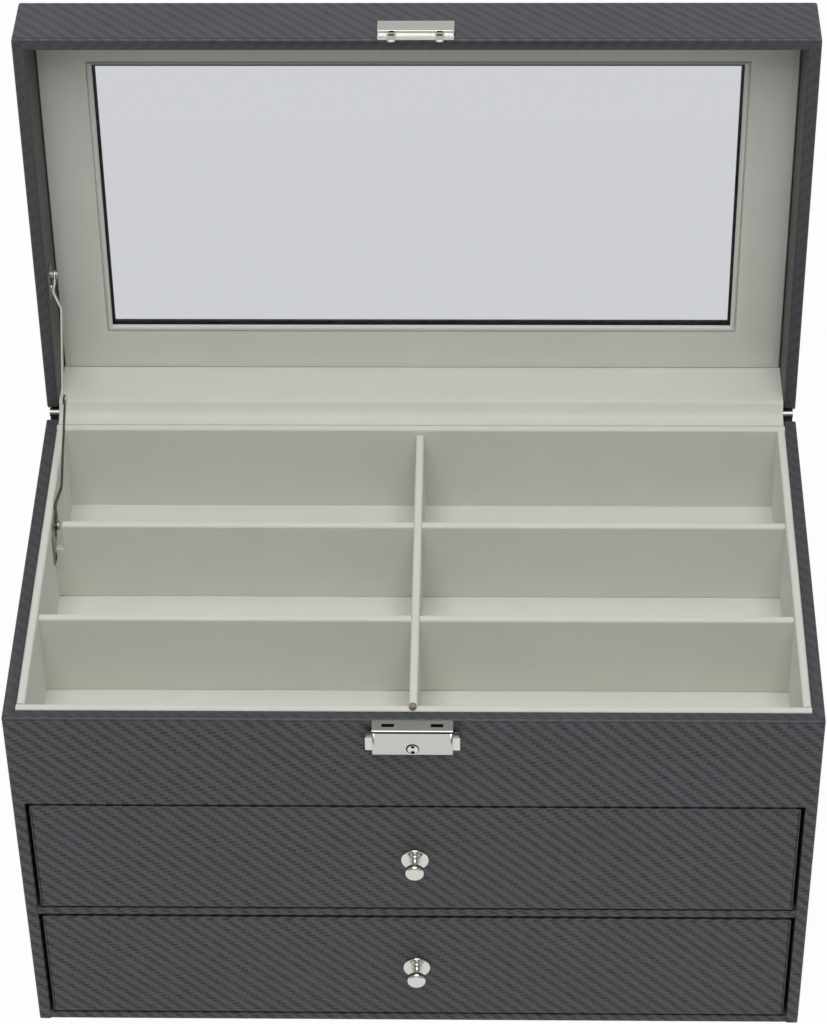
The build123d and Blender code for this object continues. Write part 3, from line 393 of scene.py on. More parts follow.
def wall_band(y_front, y_back, tall, chamfer):
    """Carry a wall's section round the plan; the rear ends slope off by the chamfer.

    The steps nearest to a corner's middle are sunk by SEAM, which is the mitre.
    """
    columns = []
    for q, down in zip(*wall_section(tall)):
        x, y = plan(q, y_front, y_back, chamfer)
        slope = np.maximum(y - (y_back - chamfer), 0)
        to_middle = LEG + ROUND_STEPS / 2
        middles = np.array([to_middle, len(x) - 1 - to_middle])
        reach = ROUND_STEPS / 2 + 0.1 if q >= CORNER else 0.1
        mitre = np.abs(np.arange(len(x)) - middles[:, None]).min(axis=0) < reach
        sunk = down + SEAM * mitre * (down < EDGE)
        columns.append(np.stack([x, y, np.maximum(sunk, slope)], axis=1))
    return capped(np.stack(columns, axis=1))


# %% A frame round a window


def frame_ring(half, y_front, y_back, corner, inset, height, pinch_from=1e6, pinch=0.0):
    """Carry a closed section (inset, height) round a rectangle with round corners.

    Along the front, what lies further in than pinch_from is drawn back by pinch.
    """
    columns = []
    for q, level in zip(inset, height):
        drawn_back = pinch * np.clip((q - pinch_from) / (max(inset) - pinch_from), 0, 1)
        stand, radius = max(corner, q), max(corner - q, 0.0)
        arc_x, arc_y = half - stand + radius * np.cos(QUARTER), radius * np.sin(QUARTER)
        x = np.concatenate([arc_x, -arc_x[::-1], -arc_x, arc_x[::-1]])
        high, low = y_back - stand, y_front + stand - drawn_back
        y = np.concatenate([high + arc_y, high + arc_y[::-1], low - arc_y, low - arc_y[::-1]])
        columns.append(np.stack([x, y, np.full(len(x), level)], axis=1))
    points = np.stack(columns, axis=1)
    return points.reshape(-1, 3), cells(*points.shape[:2], True, True).tolist()


print("a wall's section has", len(wall_section(rim)[0]), "points")

# %% [markdown]
# ## Finishes
# Colours are written as they look on a screen. The renderer adds light, which
# works in linear values, so one function turns each hex colour to linear.

# %% Colour and node helpers


def screen_colour(code):
    """Turn a hex colour of the screen, such as 8A8A8A, to linear red, green, blue."""
    values = np.array([int(code[i : i + 2], 16) for i in (0, 2, 4)]) / 255
    linear = np.where(values <= 0.04045, values / 12.92, ((values + 0.055) / 1.055) ** 2.4)
    return (*linear.tolist(), 1.0)


def set_inputs(tree, node, inputs):
    """Link each named input to another node's output, or set it to a plain value."""
    for name, value in inputs.items():
        if isinstance(value, bpy.types.NodeSocket):
            tree.links.new(value, node.inputs[name])
        else:
            node.inputs[name].default_value = value


def add_node(tree, kind, inputs, **settings):
    """Add a node with its settings and inputs, and return its outputs."""
    node = tree.nodes.new(f"ShaderNode{kind}")
    for name, value in settings.items():
        setattr(node, name, value)
    set_inputs(tree, node, inputs)
    return node.outputs


def new_finish(name):
    """Start a finish: a material with only its shader, ready for patterns."""
    material = bpy.data.materials.new(name)
    material.use_nodes = True
    print("finish", name)
    return material, material.node_tree, material.node_tree.nodes["Principled BSDF"]


# %% [markdown]
# ### Woven leatherette
# The cover is PVC on a cloth back, embossed to look like carbon twill: short
# dashes lie along the sheet, and each row is shifted by one thread, so that the
# eye joins them to diagonals. A twill repeats after four threads, and a thread is
# 1.67 mm. The sheet's own map, in millimetres, follows the wrap round every edge.
# A dash is a stretch of its row that lies near the middle of the repeat; a slow
# noise lets the rows wander a little, as a real sheet's do.

# %% Leatherette: rows of dashes
THREAD = 1.67
DASH_REPEAT, DASH_LENGTH, DASH_HEIGHT, DASH_BLUR = 4 * THREAD, 3.2, 1.45, 0.3
WANDER = 1.2
NOISES = {  # how many to a millimetre, detail and roughness
    "wander": (0.7, 2.0, 0.5),
    "patch": (0.23, 3.0, 0.7),
    "grain": (2.2, 3.0, 0.6),
    "drift": (0.03, 2.0, 0.5),
}

leatherette, tree, shader = new_finish("embossed PVC leatherette")
sheet = add_node(tree, "UVMap", {}, uv_map="sheet")["UV"]
noises = {}
for name, (per_mm, detail, rough) in NOISES.items():
    noise = {"Vector": sheet, "Scale": per_mm, "Detail": detail, "Roughness": rough}
    noises[name] = add_node(tree, "TexNoise", noise)["Fac"]
stray = {0: noises["wander"], 1: WANDER, 2: -WANDER / 2}
stray = add_node(tree, "Math", stray, operation="MULTIPLY_ADD")[0]
place = add_node(tree, "SeparateXYZ", {"Vector": sheet})
across = add_node(tree, "Math", {0: place["X"], 1: stray}, operation="ADD")[0]
upward = add_node(tree, "Math", {0: stray, 1: 0.5, 2: place["Y"]}, operation="MULTIPLY_ADD")[0]
row = add_node(tree, "Math", {0: upward, 1: THREAD}, operation="DIVIDE")[0]
row = add_node(tree, "Math", {0: row}, operation="FLOOR")[0]
shifted = add_node(tree, "Math", {0: row, 1: THREAD, 2: across}, operation="MULTIPLY_ADD")[0]
steps = []
for value, repeat, size, blur in (
    (shifted, DASH_REPEAT, DASH_LENGTH, 2 * DASH_BLUR),
    (upward, THREAD, DASH_HEIGHT, DASH_BLUR),
):
    inside = add_node(tree, "Math", {0: value, 1: repeat}, operation="FLOORED_MODULO")[0]
    off = add_node(tree, "Math", {0: inside, 1: repeat / 2}, operation="SUBTRACT")[0]
    off = add_node(tree, "Math", {0: off}, operation="ABSOLUTE")[0]
    edges = {"Value": off, "From Min": size / 2 + blur, "From Max": size / 2 - blur}
    steps.append(add_node(tree, "MapRange", edges, interpolation_type="SMOOTHSTEP")["Result"])
dash = add_node(tree, "Math", {0: steps[0], 1: steps[1]}, operation="MULTIPLY")[0]
print("leatherette: rows", THREAD, "mm apart, repeat", DASH_REPEAT, "mm")

# %% [markdown]
# The emboss is shallower in patches of about 4 mm, and half as deep where the
# sheet is pulled over a rim. The ground between the dashes is a blue grey that
# drifts over some 30 mm, and the rim's faces are painted darker: painted shade.
# Both marks come from numbers stored on the faces. A grain of half a millimetre
# breaks the gloss.

# %% Leatherette: colour and relief
# Painted shade: how far a rim face's ground is mixed towards a dark grey.
RIM_PAINTED_SHADE, STRETCH_LOSS = 0.37, 0.5

deep = {"Value": noises["patch"], "From Min": 0.3, "From Max": 0.6, "To Min": 0.5}
deep = add_node(tree, "MapRange", deep)["Result"]
stretched = add_node(tree, "Attribute", {}, attribute_name="stretched")["Fac"]
kept = {0: stretched, 1: -STRETCH_LOSS, 2: 1.0}
kept = add_node(tree, "Math", kept, operation="MULTIPLY_ADD")[0]
deep = add_node(tree, "Math", {0: deep, 1: kept}, operation="MULTIPLY")[0]
dash = add_node(tree, "Math", {0: dash, 1: deep}, operation="MULTIPLY")[0]
# Painted shade on the rim's faces, read from the rim mark stored on them.
rim_painted_shade = add_node(tree, "Attribute", {}, attribute_name="rim")["Fac"]
rim_painted_shade = add_node(tree, "Math", {0: rim_painted_shade, 1: RIM_PAINTED_SHADE}, operation="MULTIPLY")[0]
tone = screen_colour("4B4C4F")
for share, code in ((noises["drift"], "515358"), (rim_painted_shade, "1A1B1C"), (dash, "232528")):
    tone = {0: share, 6: tone, 7: screen_colour(code)}
    tone = add_node(tree, "Mix", tone, data_type="RGBA")[2]
grain = noises["grain"]
gloss = add_node(tree, "Math", {0: grain, 1: 0.12, 2: 0.4}, operation="MULTIPLY_ADD")[0]
gloss = add_node(tree, "Math", {0: dash, 1: 0.12, 2: gloss}, operation="MULTIPLY_ADD")[0]
sunk = add_node(tree, "Math", {0: dash, 1: -1.0}, operation="MULTIPLY")[0]
relief = add_node(tree, "Math", {0: grain, 1: 0.35, 2: sunk}, operation="MULTIPLY_ADD")[0]
bump = {"Height": relief, "Strength": 0.35, "Distance": 0.12 * MM}
bump = add_node(tree, "Bump", bump)["Normal"]
set_inputs(tree, shader, {"Base Color": tone, "Roughness": gloss, "IOR": 1.48, "Normal": bump})

# %% [markdown]
# ### Velvet
# The lining is short ivory flock: it scatters light at every angle, so it has
# full roughness, some sheen and a mottled pile about half a millimetre across.
# The nap lies one way and the other in patches of about two centimetres.

# %% Velvet
PILE, NAP = 0.45, 22

velvet, tree, shader = new_finish("ivory flock velvet")
room = add_node(tree, "TexCoord", {})["Object"]
pile = {"Vector": room, "Scale": 1 / (PILE * MM), "Detail": 2.0}
pile = add_node(tree, "TexNoise", pile)["Fac"]
nap = add_node(tree, "TexNoise", {"Vector": room, "Scale": 1 / (NAP * MM), "Detail": 3.0})["Fac"]
mottle = add_node(tree, "Math", {0: pile, 1: 0.4}, operation="MULTIPLY")[0]
mottle = add_node(tree, "Math", {0: nap, 1: 0.6, 2: mottle}, operation="MULTIPLY_ADD")[0]
tone = {0: mottle, 6: screen_colour("CECFC6"), 7: screen_colour("DADBD3")}
tone = add_node(tree, "Mix", tone, data_type="RGBA")[2]
bump = {"Height": pile, "Strength": 0.25, "Distance": 0.15 * MM}
bump = add_node(tree, "Bump", bump)["Normal"]
flock = {"Roughness": 1.0, "Specular IOR Level": 0.2, "Sheen Weight": 0.15, "Sheen Roughness": 0.5}
set_inputs(tree, shader, {"Base Color": tone, "Normal": bump, **flock})

# %% [markdown]
# ### Metals
# The fittings are pressed steel under nickel or zinc: nearly white metal, with
# faint polishing marks. Polished nickel mirrors the room, a satin one blurs it,
# and the lower arm of the stay, the hinge and the stay's brackets take darker
# copies of the steel: painted shade. Metals keep the shader's own IOR. Where a
# piece stores painted shade, the plating is painted nearly black, as the shade
# deep in a groove or a bore, which reflects nothing but its own walls.

# %% Plated metal, and copies painted darker as shade


def polished_metal(name, code, roughness, grit):
    """Return a plated metal: one colour, with fine marks of the given grit in mm."""
    material, tree, shader = new_finish(name)
    room = add_node(tree, "TexCoord", {})["Object"]
    marks = {"Vector": room, "Scale": 1 / (grit * MM), "Detail": 4.0}
    marks = add_node(tree, "TexNoise", marks)["Fac"]
    # Painted shade: marked faces or points are mixed towards near black.
    painted_shade = add_node(tree, "Attribute", {}, attribute_name="painted_shade")["Fac"]
    tone = {0: painted_shade, 6: screen_colour(code), 7: screen_colour("0E0E0E")}
    tone = add_node(tree, "Mix", tone, data_type="RGBA")[2]
    spread = {0: marks, 1: 0.1, 2: roughness}
    spread = add_node(tree, "Math", spread, operation="MULTIPLY_ADD")[0]
    bump = {"Height": marks, "Strength": 0.06, "Distance": 0.05 * MM}
    bump = add_node(tree, "Bump", bump)["Normal"]
    plated = {"Base Color": tone, "Metallic": 1.0, "Roughness": spread, "Normal": bump}
    set_inputs(tree, shader, plated)
    return material


nickel = polished_metal("polished nickel plate", "DBD9D4", 0.1, 1.6)
strike_nickel = polished_metal("satin nickel plate", "E2E0DB", 0.42, 1.6)
spring_wire = polished_metal("drawn spring wire", "B4B4B2", 0.3, 0.6)
pressed_nickel = polished_metal("pressed nickel plate", "CDCBC7", 0.16, 1.6)
stay_steel = polished_metal("zinc plated stay steel", "DEDCD7", 0.38, 0.8)
# Painted shade: the stay's brackets take a darker copy of the steel.
shade_painted_bracket_steel = polished_metal("brushed bracket steel painted darker as shade", "A6A49F", 0.45, 0.8)
# Painted shade: the stay's lower arm is the same steel, painted dark.
shaded_arm_steel = polished_metal("stay steel painted dark as shade", "3A3834", 0.4, 0.8)
# Painted shade: the hinge and the lid's screws take a darker copy of the nickel.
shade_painted_steel = polished_metal("hinge steel painted darker as shade", "A9A7A2", 0.3, 0.9)
# Blackened steel for the base screws, and painted shade for the strike's slots and holes.
blackened_and_hole_shade = polished_metal("black steel and painted hole shade", "1C1B1A", 0.4, 0.5)
NICKEL = (nickel, "nickel_plate")
STAY_STEEL, SHADED_ARM_STEEL = (stay_steel, "nickel_plate"), (shaded_arm_steel, "nickel_plate")
PRESSED, STRUCK = (pressed_nickel, "nickel_plate"), (strike_nickel, "nickel_plate")
HOLE_SHADE = (blackened_and_hole_shade, "nickel_plate")

# %% [markdown]
# ### Rubber, board and paper
# The stud on the rim is moulded rubber, the drawers' hidden boards are pressed
# fibre and the lid's inner walls are papered. Each is a dull solid whose two tones
# show its grain.

# %% Rubber, board and paper


def plain_solid(name, dark, light, roughness, grain_size):
    """Return a dull solid with a two-tone grain of the given size in mm."""
    material, tree, shader = new_finish(name)
    room = add_node(tree, "TexCoord", {})["Object"]
    grain = {"Vector": room, "Scale": 1 / (grain_size * MM), "Detail": 4.0}
    grain = add_node(tree, "TexNoise", grain)["Fac"]
    tone = {0: grain, 6: screen_colour(dark), 7: screen_colour(light)}
    tone = add_node(tree, "Mix", tone, data_type="RGBA")[2]
    bump = {"Height": grain, "Strength": 0.2, "Distance": 0.1 * MM}
    bump = add_node(tree, "Bump", bump)["Normal"]
    set_inputs(tree, shader, {"Base Color": tone, "Roughness": roughness, "Normal": bump})
    return material


rubber = plain_solid("moulded grey rubber", "776F64", "94897A", 0.7, 0.5)
fibreboard = plain_solid("pressed fibreboard", "8A7355", "A08A69", 0.9, 1.2)
lining_paper = plain_solid("grey lining paper", "4B4E4B", "565955", 0.55, 0.7)

# %% [markdown]
# ### Glass
# The window is thin float glass with a faint blue grey cast. Plain glass has an
# IOR of 1.5 and would mirror the pale tray. This one shows no reflection, as glass
# with a bloomed face does, so its IOR is set much lower.

# %% Glass
glass, tree, shader = new_finish("clear float glass")
clear = {"Roughness": 0.0, "IOR": 1.15, "Transmission Weight": 1.0}
set_inputs(tree, shader, {"Base Color": screen_colour("CFD1D5"), **clear})

# %% [markdown]
# ## The case
# One strip wraps the left, front and right walls above the drawers. Below it the
# side walls run on to the floor, and their front edges frame the drawers. The
# back is a board of its own, lower at its rim for the hinge.

# %% The case's covered walls
LEATHER = (leatherette, "charcoal_leatherette")
FACING = 0.7  # a face whose normal has this much of the rim's way lies on the rim
low_z = span("front_panel")[0][2]

band_points, band_faces = wall_band(front, back, rim - low_z, groove)
band_points[:, 2] = rim - band_points[:, 2]
side_corners = rectangle(-half_width, -inner_half, front, back, (CORNER, EDGE, 0, 0))
side_points, side_faces = board(side_corners, 2, 0.0, low_z)
(_, back_front, _), (_, _, back_top) = span("back_wall")
back_corners = [
    (back_front, 0, 0),
    (back, 0, 0),
    (back, rim - groove, 0),
    (back - groove + (rim - back_top), back_top, 0),
    (back_front, back_top, 0),
]
case_cover = make_piece(
    "case_cover",
    [
        (band_points, band_faces),
        (side_points, side_faces),
        (side_points * [-1, 1, 1], side_faces),
        board(back_corners, 0, -inner_half, inner_half),
    ],
    LEATHER,
    "base",
    ("side_wall_left", "side_wall_right", "front_panel", "back_wall"),
    mitres=(half_width, front, 1e6),
)


def mark_stretch_and_rim_shade(piece, rim_way, rim_shade_amount, elsewhere):
    """Mark the faces of the rim, where the sheet is pulled tight, and give them painted shade."""
    rim_painted_shade = read(piece.data.polygons, "normal") @ np.array(rim_way) > FACING
    mark(piece.data, "rim", rim_painted_shade * rim_shade_amount)
    mark(piece.data, "stretched", np.where(rim_painted_shade, 1.0, elsewhere))


# Painted shade on the case's rim faces.
mark_stretch_and_rim_shade(case_cover, (0, 0, 1), 0.7, 0.0)

# %% The boards under and between the drawers
for name in ("bottom_board", "drawer_divider"):
    low, high = span(name)
    corners = rectangle(low[1], high[1], low[2], high[2], (EDGE, 0, 0, EDGE))
    shells = [board(corners, 0, low[0], high[0])]
    make_piece(f"{name}_cover", shells, LEATHER, "base", (name,))

# %% [markdown]
# ## The tray
# Lining boards stand inside the walls, flush with the rim. Partitions lap into
# each other, which leaves the centre one whole on top and the cross ones butting
# against it. Velvet over board makes a fat round along every top edge.

# %% Linings and partitions
VELVET = (velvet, "ivory_velvet")
TOP_ROUND = 1.1


def upright(left, right, low, high, top=TOP_ROUND):
    """Return the corners of an upright board's section, rounded along its top."""
    return rectangle(left, right, low, high, (0, 0, top, top))


def velvet_board(node, body, axis):
    """Cover an upright board that runs along x, axis 0, or along y, axis 1."""
    low, high = span(node)
    section = upright(low[1 - axis], high[1 - axis], low[2], high[2])
    shells = [board(section, axis, low[axis], high[axis])]
    make_piece(f"{node}_velvet", shells, VELVET, body, (node,))


def crossing(prefix, body, notch=None):
    """Cover a centre partition and the two that cross it, with an optional notch."""
    velvet_board(f"{prefix}_centre_partition", body, 1)
    low, high = span(f"{prefix}_centre_partition")
    thick = high[0] - low[0]
    low, high = span(f"{prefix}_cross_partitions")
    shells = []
    for near, far in ((low[1], low[1] + thick), (high[1] - thick, high[1])):
        section = upright(near, far, low[2], high[2])
        edge, floor = notch if notch and far == high[1] else (low[0], None)
        shells.append(board(section, 0, thick / 2, high[0]))
        shells.append(board(section, 0, edge, -thick / 2))
        if floor:
            shells.append(board(upright(near, far, low[2], floor, 0), 0, low[0], edge))
    stands_for = (f"{prefix}_cross_partitions",)
    make_piece(f"{prefix}_cross_partitions_velvet", shells, VELVET, body, stands_for)


for side, axis in (("front", 0), ("back", 0), ("left", 1), ("right", 1)):
    velvet_board(f"tray_lining_{side}", "base", axis)
cross = node_points("tray_cross_partitions")
rear_top = cross[(cross[:, 1] > 0) & (cross[:, 0] < -inner_half / 2)]
notch_edge = rear_top[rear_top[:, 2] > rear_top[:, 2].max() - HAIR][:, 0].min()
notch_floor = rear_top[rear_top[:, 0] < notch_edge - HAIR][:, 2].max()
crossing("tray", "base", (notch_edge, notch_floor))
print("stay's notch from x", notch_edge, "down to", notch_floor)

# %% [markdown]
# The floor is a card with wadding under the velvet. It swells a little in the
# middle of each compartment and is pinched down along the partitions.

# %% The padded floor
SWELL = 0.9
PAD_STEPS = 17


def padded_floor(prefix, body):
    """Swell a floor in each compartment by SWELL * (1 - a^6) * (1 - b^6).

    a and b run from -1 to 1 across the compartment, so the pad is nearly flat in
    its middle and falls off close to its walls.
    """
    low, high = span(f"{prefix}_floor")
    (_, near, _), (_, far, _) = span(f"{prefix}_cross_partitions")
    half = span(f"{prefix}_centre_partition")[1][0]
    shares = (1 - np.cos(np.linspace(0, np.pi, PAD_STEPS))) / 2
    grids = []
    for lines in ([-high[0], 0.0, high[0]], [low[1], near + half, far - half, high[1]]):
        places = [start + (end - start) * shares for start, end in zip(lines, lines[1:])]
        grids += [np.concatenate(places), np.tile(2 * shares - 1, len(places))]
    x, a, y, b = grids
    lift = SWELL * (1 - a[:, None] ** 6) * (1 - b[None, :] ** 6)
    height = high[2] - SWELL / 2 + lift
    top = np.stack([*np.broadcast_arrays(x[:, None], y[None, :], height)], axis=-1)
    bottom = top.copy()
    bottom[..., 2] = low[2]
    ring = np.arange(lift.size).reshape(lift.shape)
    border = np.concatenate([ring[0, :-1], ring[:-1, -1], ring[-1, :0:-1], ring[:0:-1, 0]])
    below = border + lift.size
    sides = np.stack([border, np.roll(border, -1), np.roll(below, -1), below], axis=1)
    flat = cells(*lift.shape)
    faces = np.concatenate([flat, flat + lift.size, sides]).tolist()
    shell = (np.concatenate([top.reshape(-1, 3), bottom.reshape(-1, 3)]), faces)
    pad = make_piece(f"{prefix}_floor_pad", [shell], VELVET, body, (f"{prefix}_floor",))


padded_floor("tray", "base")

# %% [markdown]
# ## The lid
# Its walls are the same wrapped band, upside down. The top board is a frame round
# the window, whose sheet turns in over the opening's edge and under the glass.

# %% The lid's covered walls and top
LID_GROOVE, WINDOW_MARGIN, LIP = 3.1, 30.2, 0.6
REBATE_PLAY, GLASS_PLAY, LIP_DROP = 0.3, 0.05, 0.2
(_, lid_front, lid_rim), (_, _, wall_top) = lid_span("lid_left_wall")
_, (_, _, lid_top) = lid_span("lid_top_frame")
lid_band_points, lid_band_faces = wall_band(lid_front, 0.0, wall_top - lid_rim, LID_GROOVE)
lid_band_points[:, 2] += lid_rim

(_, rear_low, rear_rim), _ = lid_span("lid_back_wall")
rear_corners = [
    (rear_low, rear_rim, 0),
    (rear_rim - lid_rim - LID_GROOVE, rear_rim, 0),
    (0, lid_rim + LID_GROOVE, 0),
    (0, wall_top, 0),
    (rear_low, wall_top, 0),
]
(glass_left, _, _), (_, _, glass_high) = lid_span("window_glass")
rebate = half_width + glass_left - REBATE_PLAY
lip_start = WINDOW_MARGIN - LIP
frame_inset = [0, 0, *(CORNER * ARC_IN[::-1]), CORNER + FLAT_MARGIN, lip_start - FLAT_MARGIN]
frame_inset += [*(lip_start + LIP * np.sin(QUARTER)), WINDOW_MARGIN, WINDOW_MARGIN, rebate, rebate]
frame_height = [wall_top, lid_top - CORNER - FLAT_MARGIN, *(lid_top - CORNER * ARC_DOWN[::-1])]
frame_height += [lid_top, lid_top, *(lid_top - LIP * ARC_DOWN), lid_top - LIP - LIP_DROP]
frame_height += [glass_high + GLASS_PLAY, glass_high + GLASS_PLAY, wall_top]
lid_cover = make_piece(
    "lid_cover",
    [
        (lid_band_points, lid_band_faces),
        board(rear_corners, 0, -inner_half, inner_half),
        frame_ring(half_width, lid_front, 0.0, CORNER, frame_inset, frame_height),
    ],
    LEATHER,
    "lid",
    ("lid_left_wall", "lid_right_wall", "lid_front_wall", "lid_back_wall", "lid_top_frame"),
    place=open_lid,
    mitres=(half_width, lid_front, 0.0),
)
# Painted shade on the lid's rim faces.
mark_stretch_and_rim_shade(lid_cover, (0, -1, 0), 1.0, 1.0)

# %% [markdown]
# The inner faces of the lid's walls are faced with smooth grey paper, so that the
# turned-in leatherette ends under it.

# %% Paper inside the lid
PAPER, PAPER_START, PAPER_PLAY = 0.15, 1.4, 0.1
paper_low, paper_high = lid_rim + PAPER_START, wall_top - PAPER_PLAY
skirt = lid_front + wall
paper_shells = []
for turn in (-1, 1):
    corners = rectangle(turn * inner_half, turn * (inner_half - PAPER), skirt, -wall)
    paper_shells.append(board(corners, 2, paper_low, paper_high))
corners = rectangle(skirt, skirt + PAPER, paper_low, paper_high)
paper_shells.append(board(corners, 0, -inner_half, inner_half))
paper = (lining_paper, "covered_board")
make_piece("lid_wall_paper", paper_shells, paper, "lid", place=open_lid)

# %% [markdown]
# Inside, a padded panel hides the boards and holds the glass. A thin roll runs
# round its window; such a roll is a cord under the velvet, cut at 45 degrees in
# the corners. Along the front it lies closer to the panel's edge. The pad's
# section falls off as the eighth power of the way from its middle, so it is flat
# but for its edges, and the roll's section is half an ellipse.

# %% The lid's inner panel
PANEL_WIDE, PANEL_GAP, PANEL_ROUND, CROWN = 23.8, 0.6, 1.0, 0.5
BEAD_WIDE, BEAD_HIGH, BEAD_SUNK, BEAD_CREASE, FRONT_PINCH = 2.3, 0.8, 0.5, 0.35, 1.4
(panel_left, panel_front, bead_face), (_, panel_back, panel_rear) = lid_span("lid_inner_panel")
panel_face = bead_face + BEAD_HIGH
bead_start = PANEL_WIDE - BEAD_WIDE
pad_start = PANEL_GAP + PANEL_ROUND
q = np.linspace(0, 1, 17)[1:]
pad_inset = pad_start + (bead_start - BEAD_CREASE - pad_start) * q
pad_height = panel_face - CROWN * (1 - (2 * q - 1) ** 8)
roll = np.linspace(0, np.pi, 13)
roll_inset = PANEL_WIDE - BEAD_WIDE / 2 - BEAD_WIDE / 2 * np.cos(roll)
roll_height = panel_face + BEAD_SUNK - (BEAD_HIGH + BEAD_SUNK) * np.sin(roll)
edge_inset = PANEL_GAP + PANEL_ROUND * ARC_DOWN
panel_inset = [PANEL_GAP, *edge_inset, *pad_inset, *roll_inset, PANEL_WIDE]
edge_height = panel_face + PANEL_ROUND * ARC_IN
panel_height = [panel_rear, *edge_height, *pad_height, *roll_height, panel_rear]
section = (0.0, panel_inset, panel_height, bead_start, FRONT_PINCH)
ring = frame_ring(-panel_left, panel_front, panel_back, *section)
stands_for = ("lid_inner_panel",)
panel_pad = make_piece("lid_inner_panel_pad", [ring], VELVET, "lid", stands_for, place=open_lid)

# %% [markdown]
# ## Cloth over the hinge
# Two strips cross the piano hinge, one inside and one outside. Each section is
# one smooth curve through a few points, carried across the box.

# %% Strips carried across the box
STRIP_COLUMNS, ROUTE_STEPS = 41, 8


def smooth_route(points, steps):
    """Return a smooth curve through the points, steps of it to each stretch.

    Catmull and Rom's rule: each stretch leaves and meets its ends along the chord
    between the neighbours, so the whole curve has no corner.
    """
    ends = np.concatenate([[2 * points[0] - points[1]], points, [2 * points[-1] - points[-2]]])
    t = np.linspace(0, 1, steps, endpoint=False)[:, None]
    spans = []
    for a, b, c, d in zip(ends[:-3], ends[1:-2], ends[2:-1], ends[3:]):
        bend, twist = 2 * a - 5 * b + 4 * c - d, 3 * b - a - 3 * c + d
        spans.append(0.5 * (2 * b + (c - a) * t + bend * t**2 + twist * t**3))
    return np.concatenate([*spans, points[-1:]])


def strip_across(name, half, route, thick, finish, start, end, stands_for=()):
    """Carry a smooth route across the box, with its thickness on the curve's left.

    start and end, the places (y, z) where the fold begins and ends, are not used.
    """
    curve = smooth_route(np.array(route), ROUTE_STEPS)
    slope = np.gradient(curve, axis=0)
    normal = np.stack([-slope[:, 1], slope[:, 0]], axis=1)
    normal /= np.linalg.norm(slope, axis=1, keepdims=True)
    section = np.concatenate([curve, (curve + normal * thick)[::-1]])
    columns = np.linspace(-half, half, STRIP_COLUMNS)
    shell = capped([np.insert(section, 0, x, axis=1) for x in columns])
    strip = make_piece(name, [shell], finish, None, stands_for)
    start, end = ((0, y * MM, z * MM) for y, z in (start, end))
    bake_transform(strip)


# %% [markdown]
# Inside, a strip of the tray's velvet hides the hinge. It is glued to the back
# board, rises over the barrel in a soft step and runs up the lid's rear wall to
# the panel.

# %% The strip over the hinge
FLAP, FLAP_PLAY, UNDER = 0.6, 0.4, 0.9  # UNDER is how much of FLAP the strip is thick
flap_floor = span("base_flap")[1][2]
heights = (5.0, panel_face + 0.9)  # from just above the barrel to the panel
on_lid = open_lid(np.array([[0.0, -wall - FLAP, height] for height in heights]))[:, 1:]
crest = on_lid[0, 1]
flap_route = [
    (back_front + 0.1, flap_floor),
    (back_front + 3.2, flap_floor + 0.05),
    (back - 2.0, flap_floor + 1.1),
    (back - 0.4, flap_floor + 3.6),
    (back + 0.7, crest - 0.15),
    (back + 2.0, crest + 0.45),
    (back + 6.0, crest + 0.35),
    ((back + 6.0 + on_lid[1, 0]) / 2, on_lid[:, 1].mean() + 0.12),
    on_lid[1],
]
strip_across(
    "hinge_strip",
    inner_half - FLAP_PLAY,
    flap_route,
    -UNDER * FLAP,
    VELVET,
    start=(back - 3.0, rim + 0.2),
    end=(back + 2.6, rim + 4.2),
    stands_for=("base_flap", "lid_flap"),
)

# %% [markdown]
# Outside, a strip of leatherette is glued across the same hinge. It closes the
# grooved joint, so that no light comes through beside the barrel. Seen with the
# lid open it lies in the inner corner of the fold.

# %% The strip behind the hinge
COVER, COVER_PLAY = 0.5, 0.9
on_back = back + COVER + 0.05
heights = (groove + 2.0, 13.0)
behind_lid = open_lid(np.array([[0.0, COVER + 0.1, height] for height in heights]))[:, 1:]
cover_route = [
    (on_back, rim - 11.0),
    (on_back, rim - groove - 1.6),
    (on_back + 0.4, rim - groove - 0.3),
    (back + 3.2, rim - COVER - 1.1),
    *behind_lid,
]
strip_across(
    "hinge_back_cover",
    half_width - COVER_PLAY,
    cover_route,
    COVER,
    LEATHER,
    start=(back + 0.2, rim - groove - 0.4),
    end=(back + 4.2, rim - 0.4),
)

# %% [markdown]
# ## The drawers
# Each front is a board wrapped on all sides. The box behind it is lined with the
# tray's velvet.

# %% Drawer fronts and boxes
FRONT_CORNER = 0.7
DRAWERS = ("lower_drawer", "upper_drawer")

for drawer in DRAWERS:
    low, high = span(f"{drawer}_front")
    corners = rectangle(low[0], high[0], low[2], high[2], FRONT_CORNER)
    shells = [board(corners, 1, low[1], high[1], EDGE)]
    make_piece(f"{drawer}_front_cover", shells, LEATHER, drawer, (f"{drawer}_front",))
    low, high = span(f"{drawer}_sides")
    thick = high[0] - span(f"{drawer}_back")[1][0]
    shells = []
    for left in (low[0], high[0] - thick):
        section = upright(left, left + thick, low[2], high[2])
        shells.append(board(section, 1, low[1], high[1]))
    make_piece(f"{drawer}_sides_velvet", shells, VELVET, drawer, (f"{drawer}_sides",))
    velvet_board(f"{drawer}_back", drawer, 0)
    crossing(drawer, drawer)
    padded_floor(drawer, drawer)

# %% [markdown]
# ## Turned fittings
# Knobs and rosettes are turned on a lathe and plated. Their profile is a smooth
# curve through a few radii, spun about the axis that runs through the front.

# %% Turning a profile


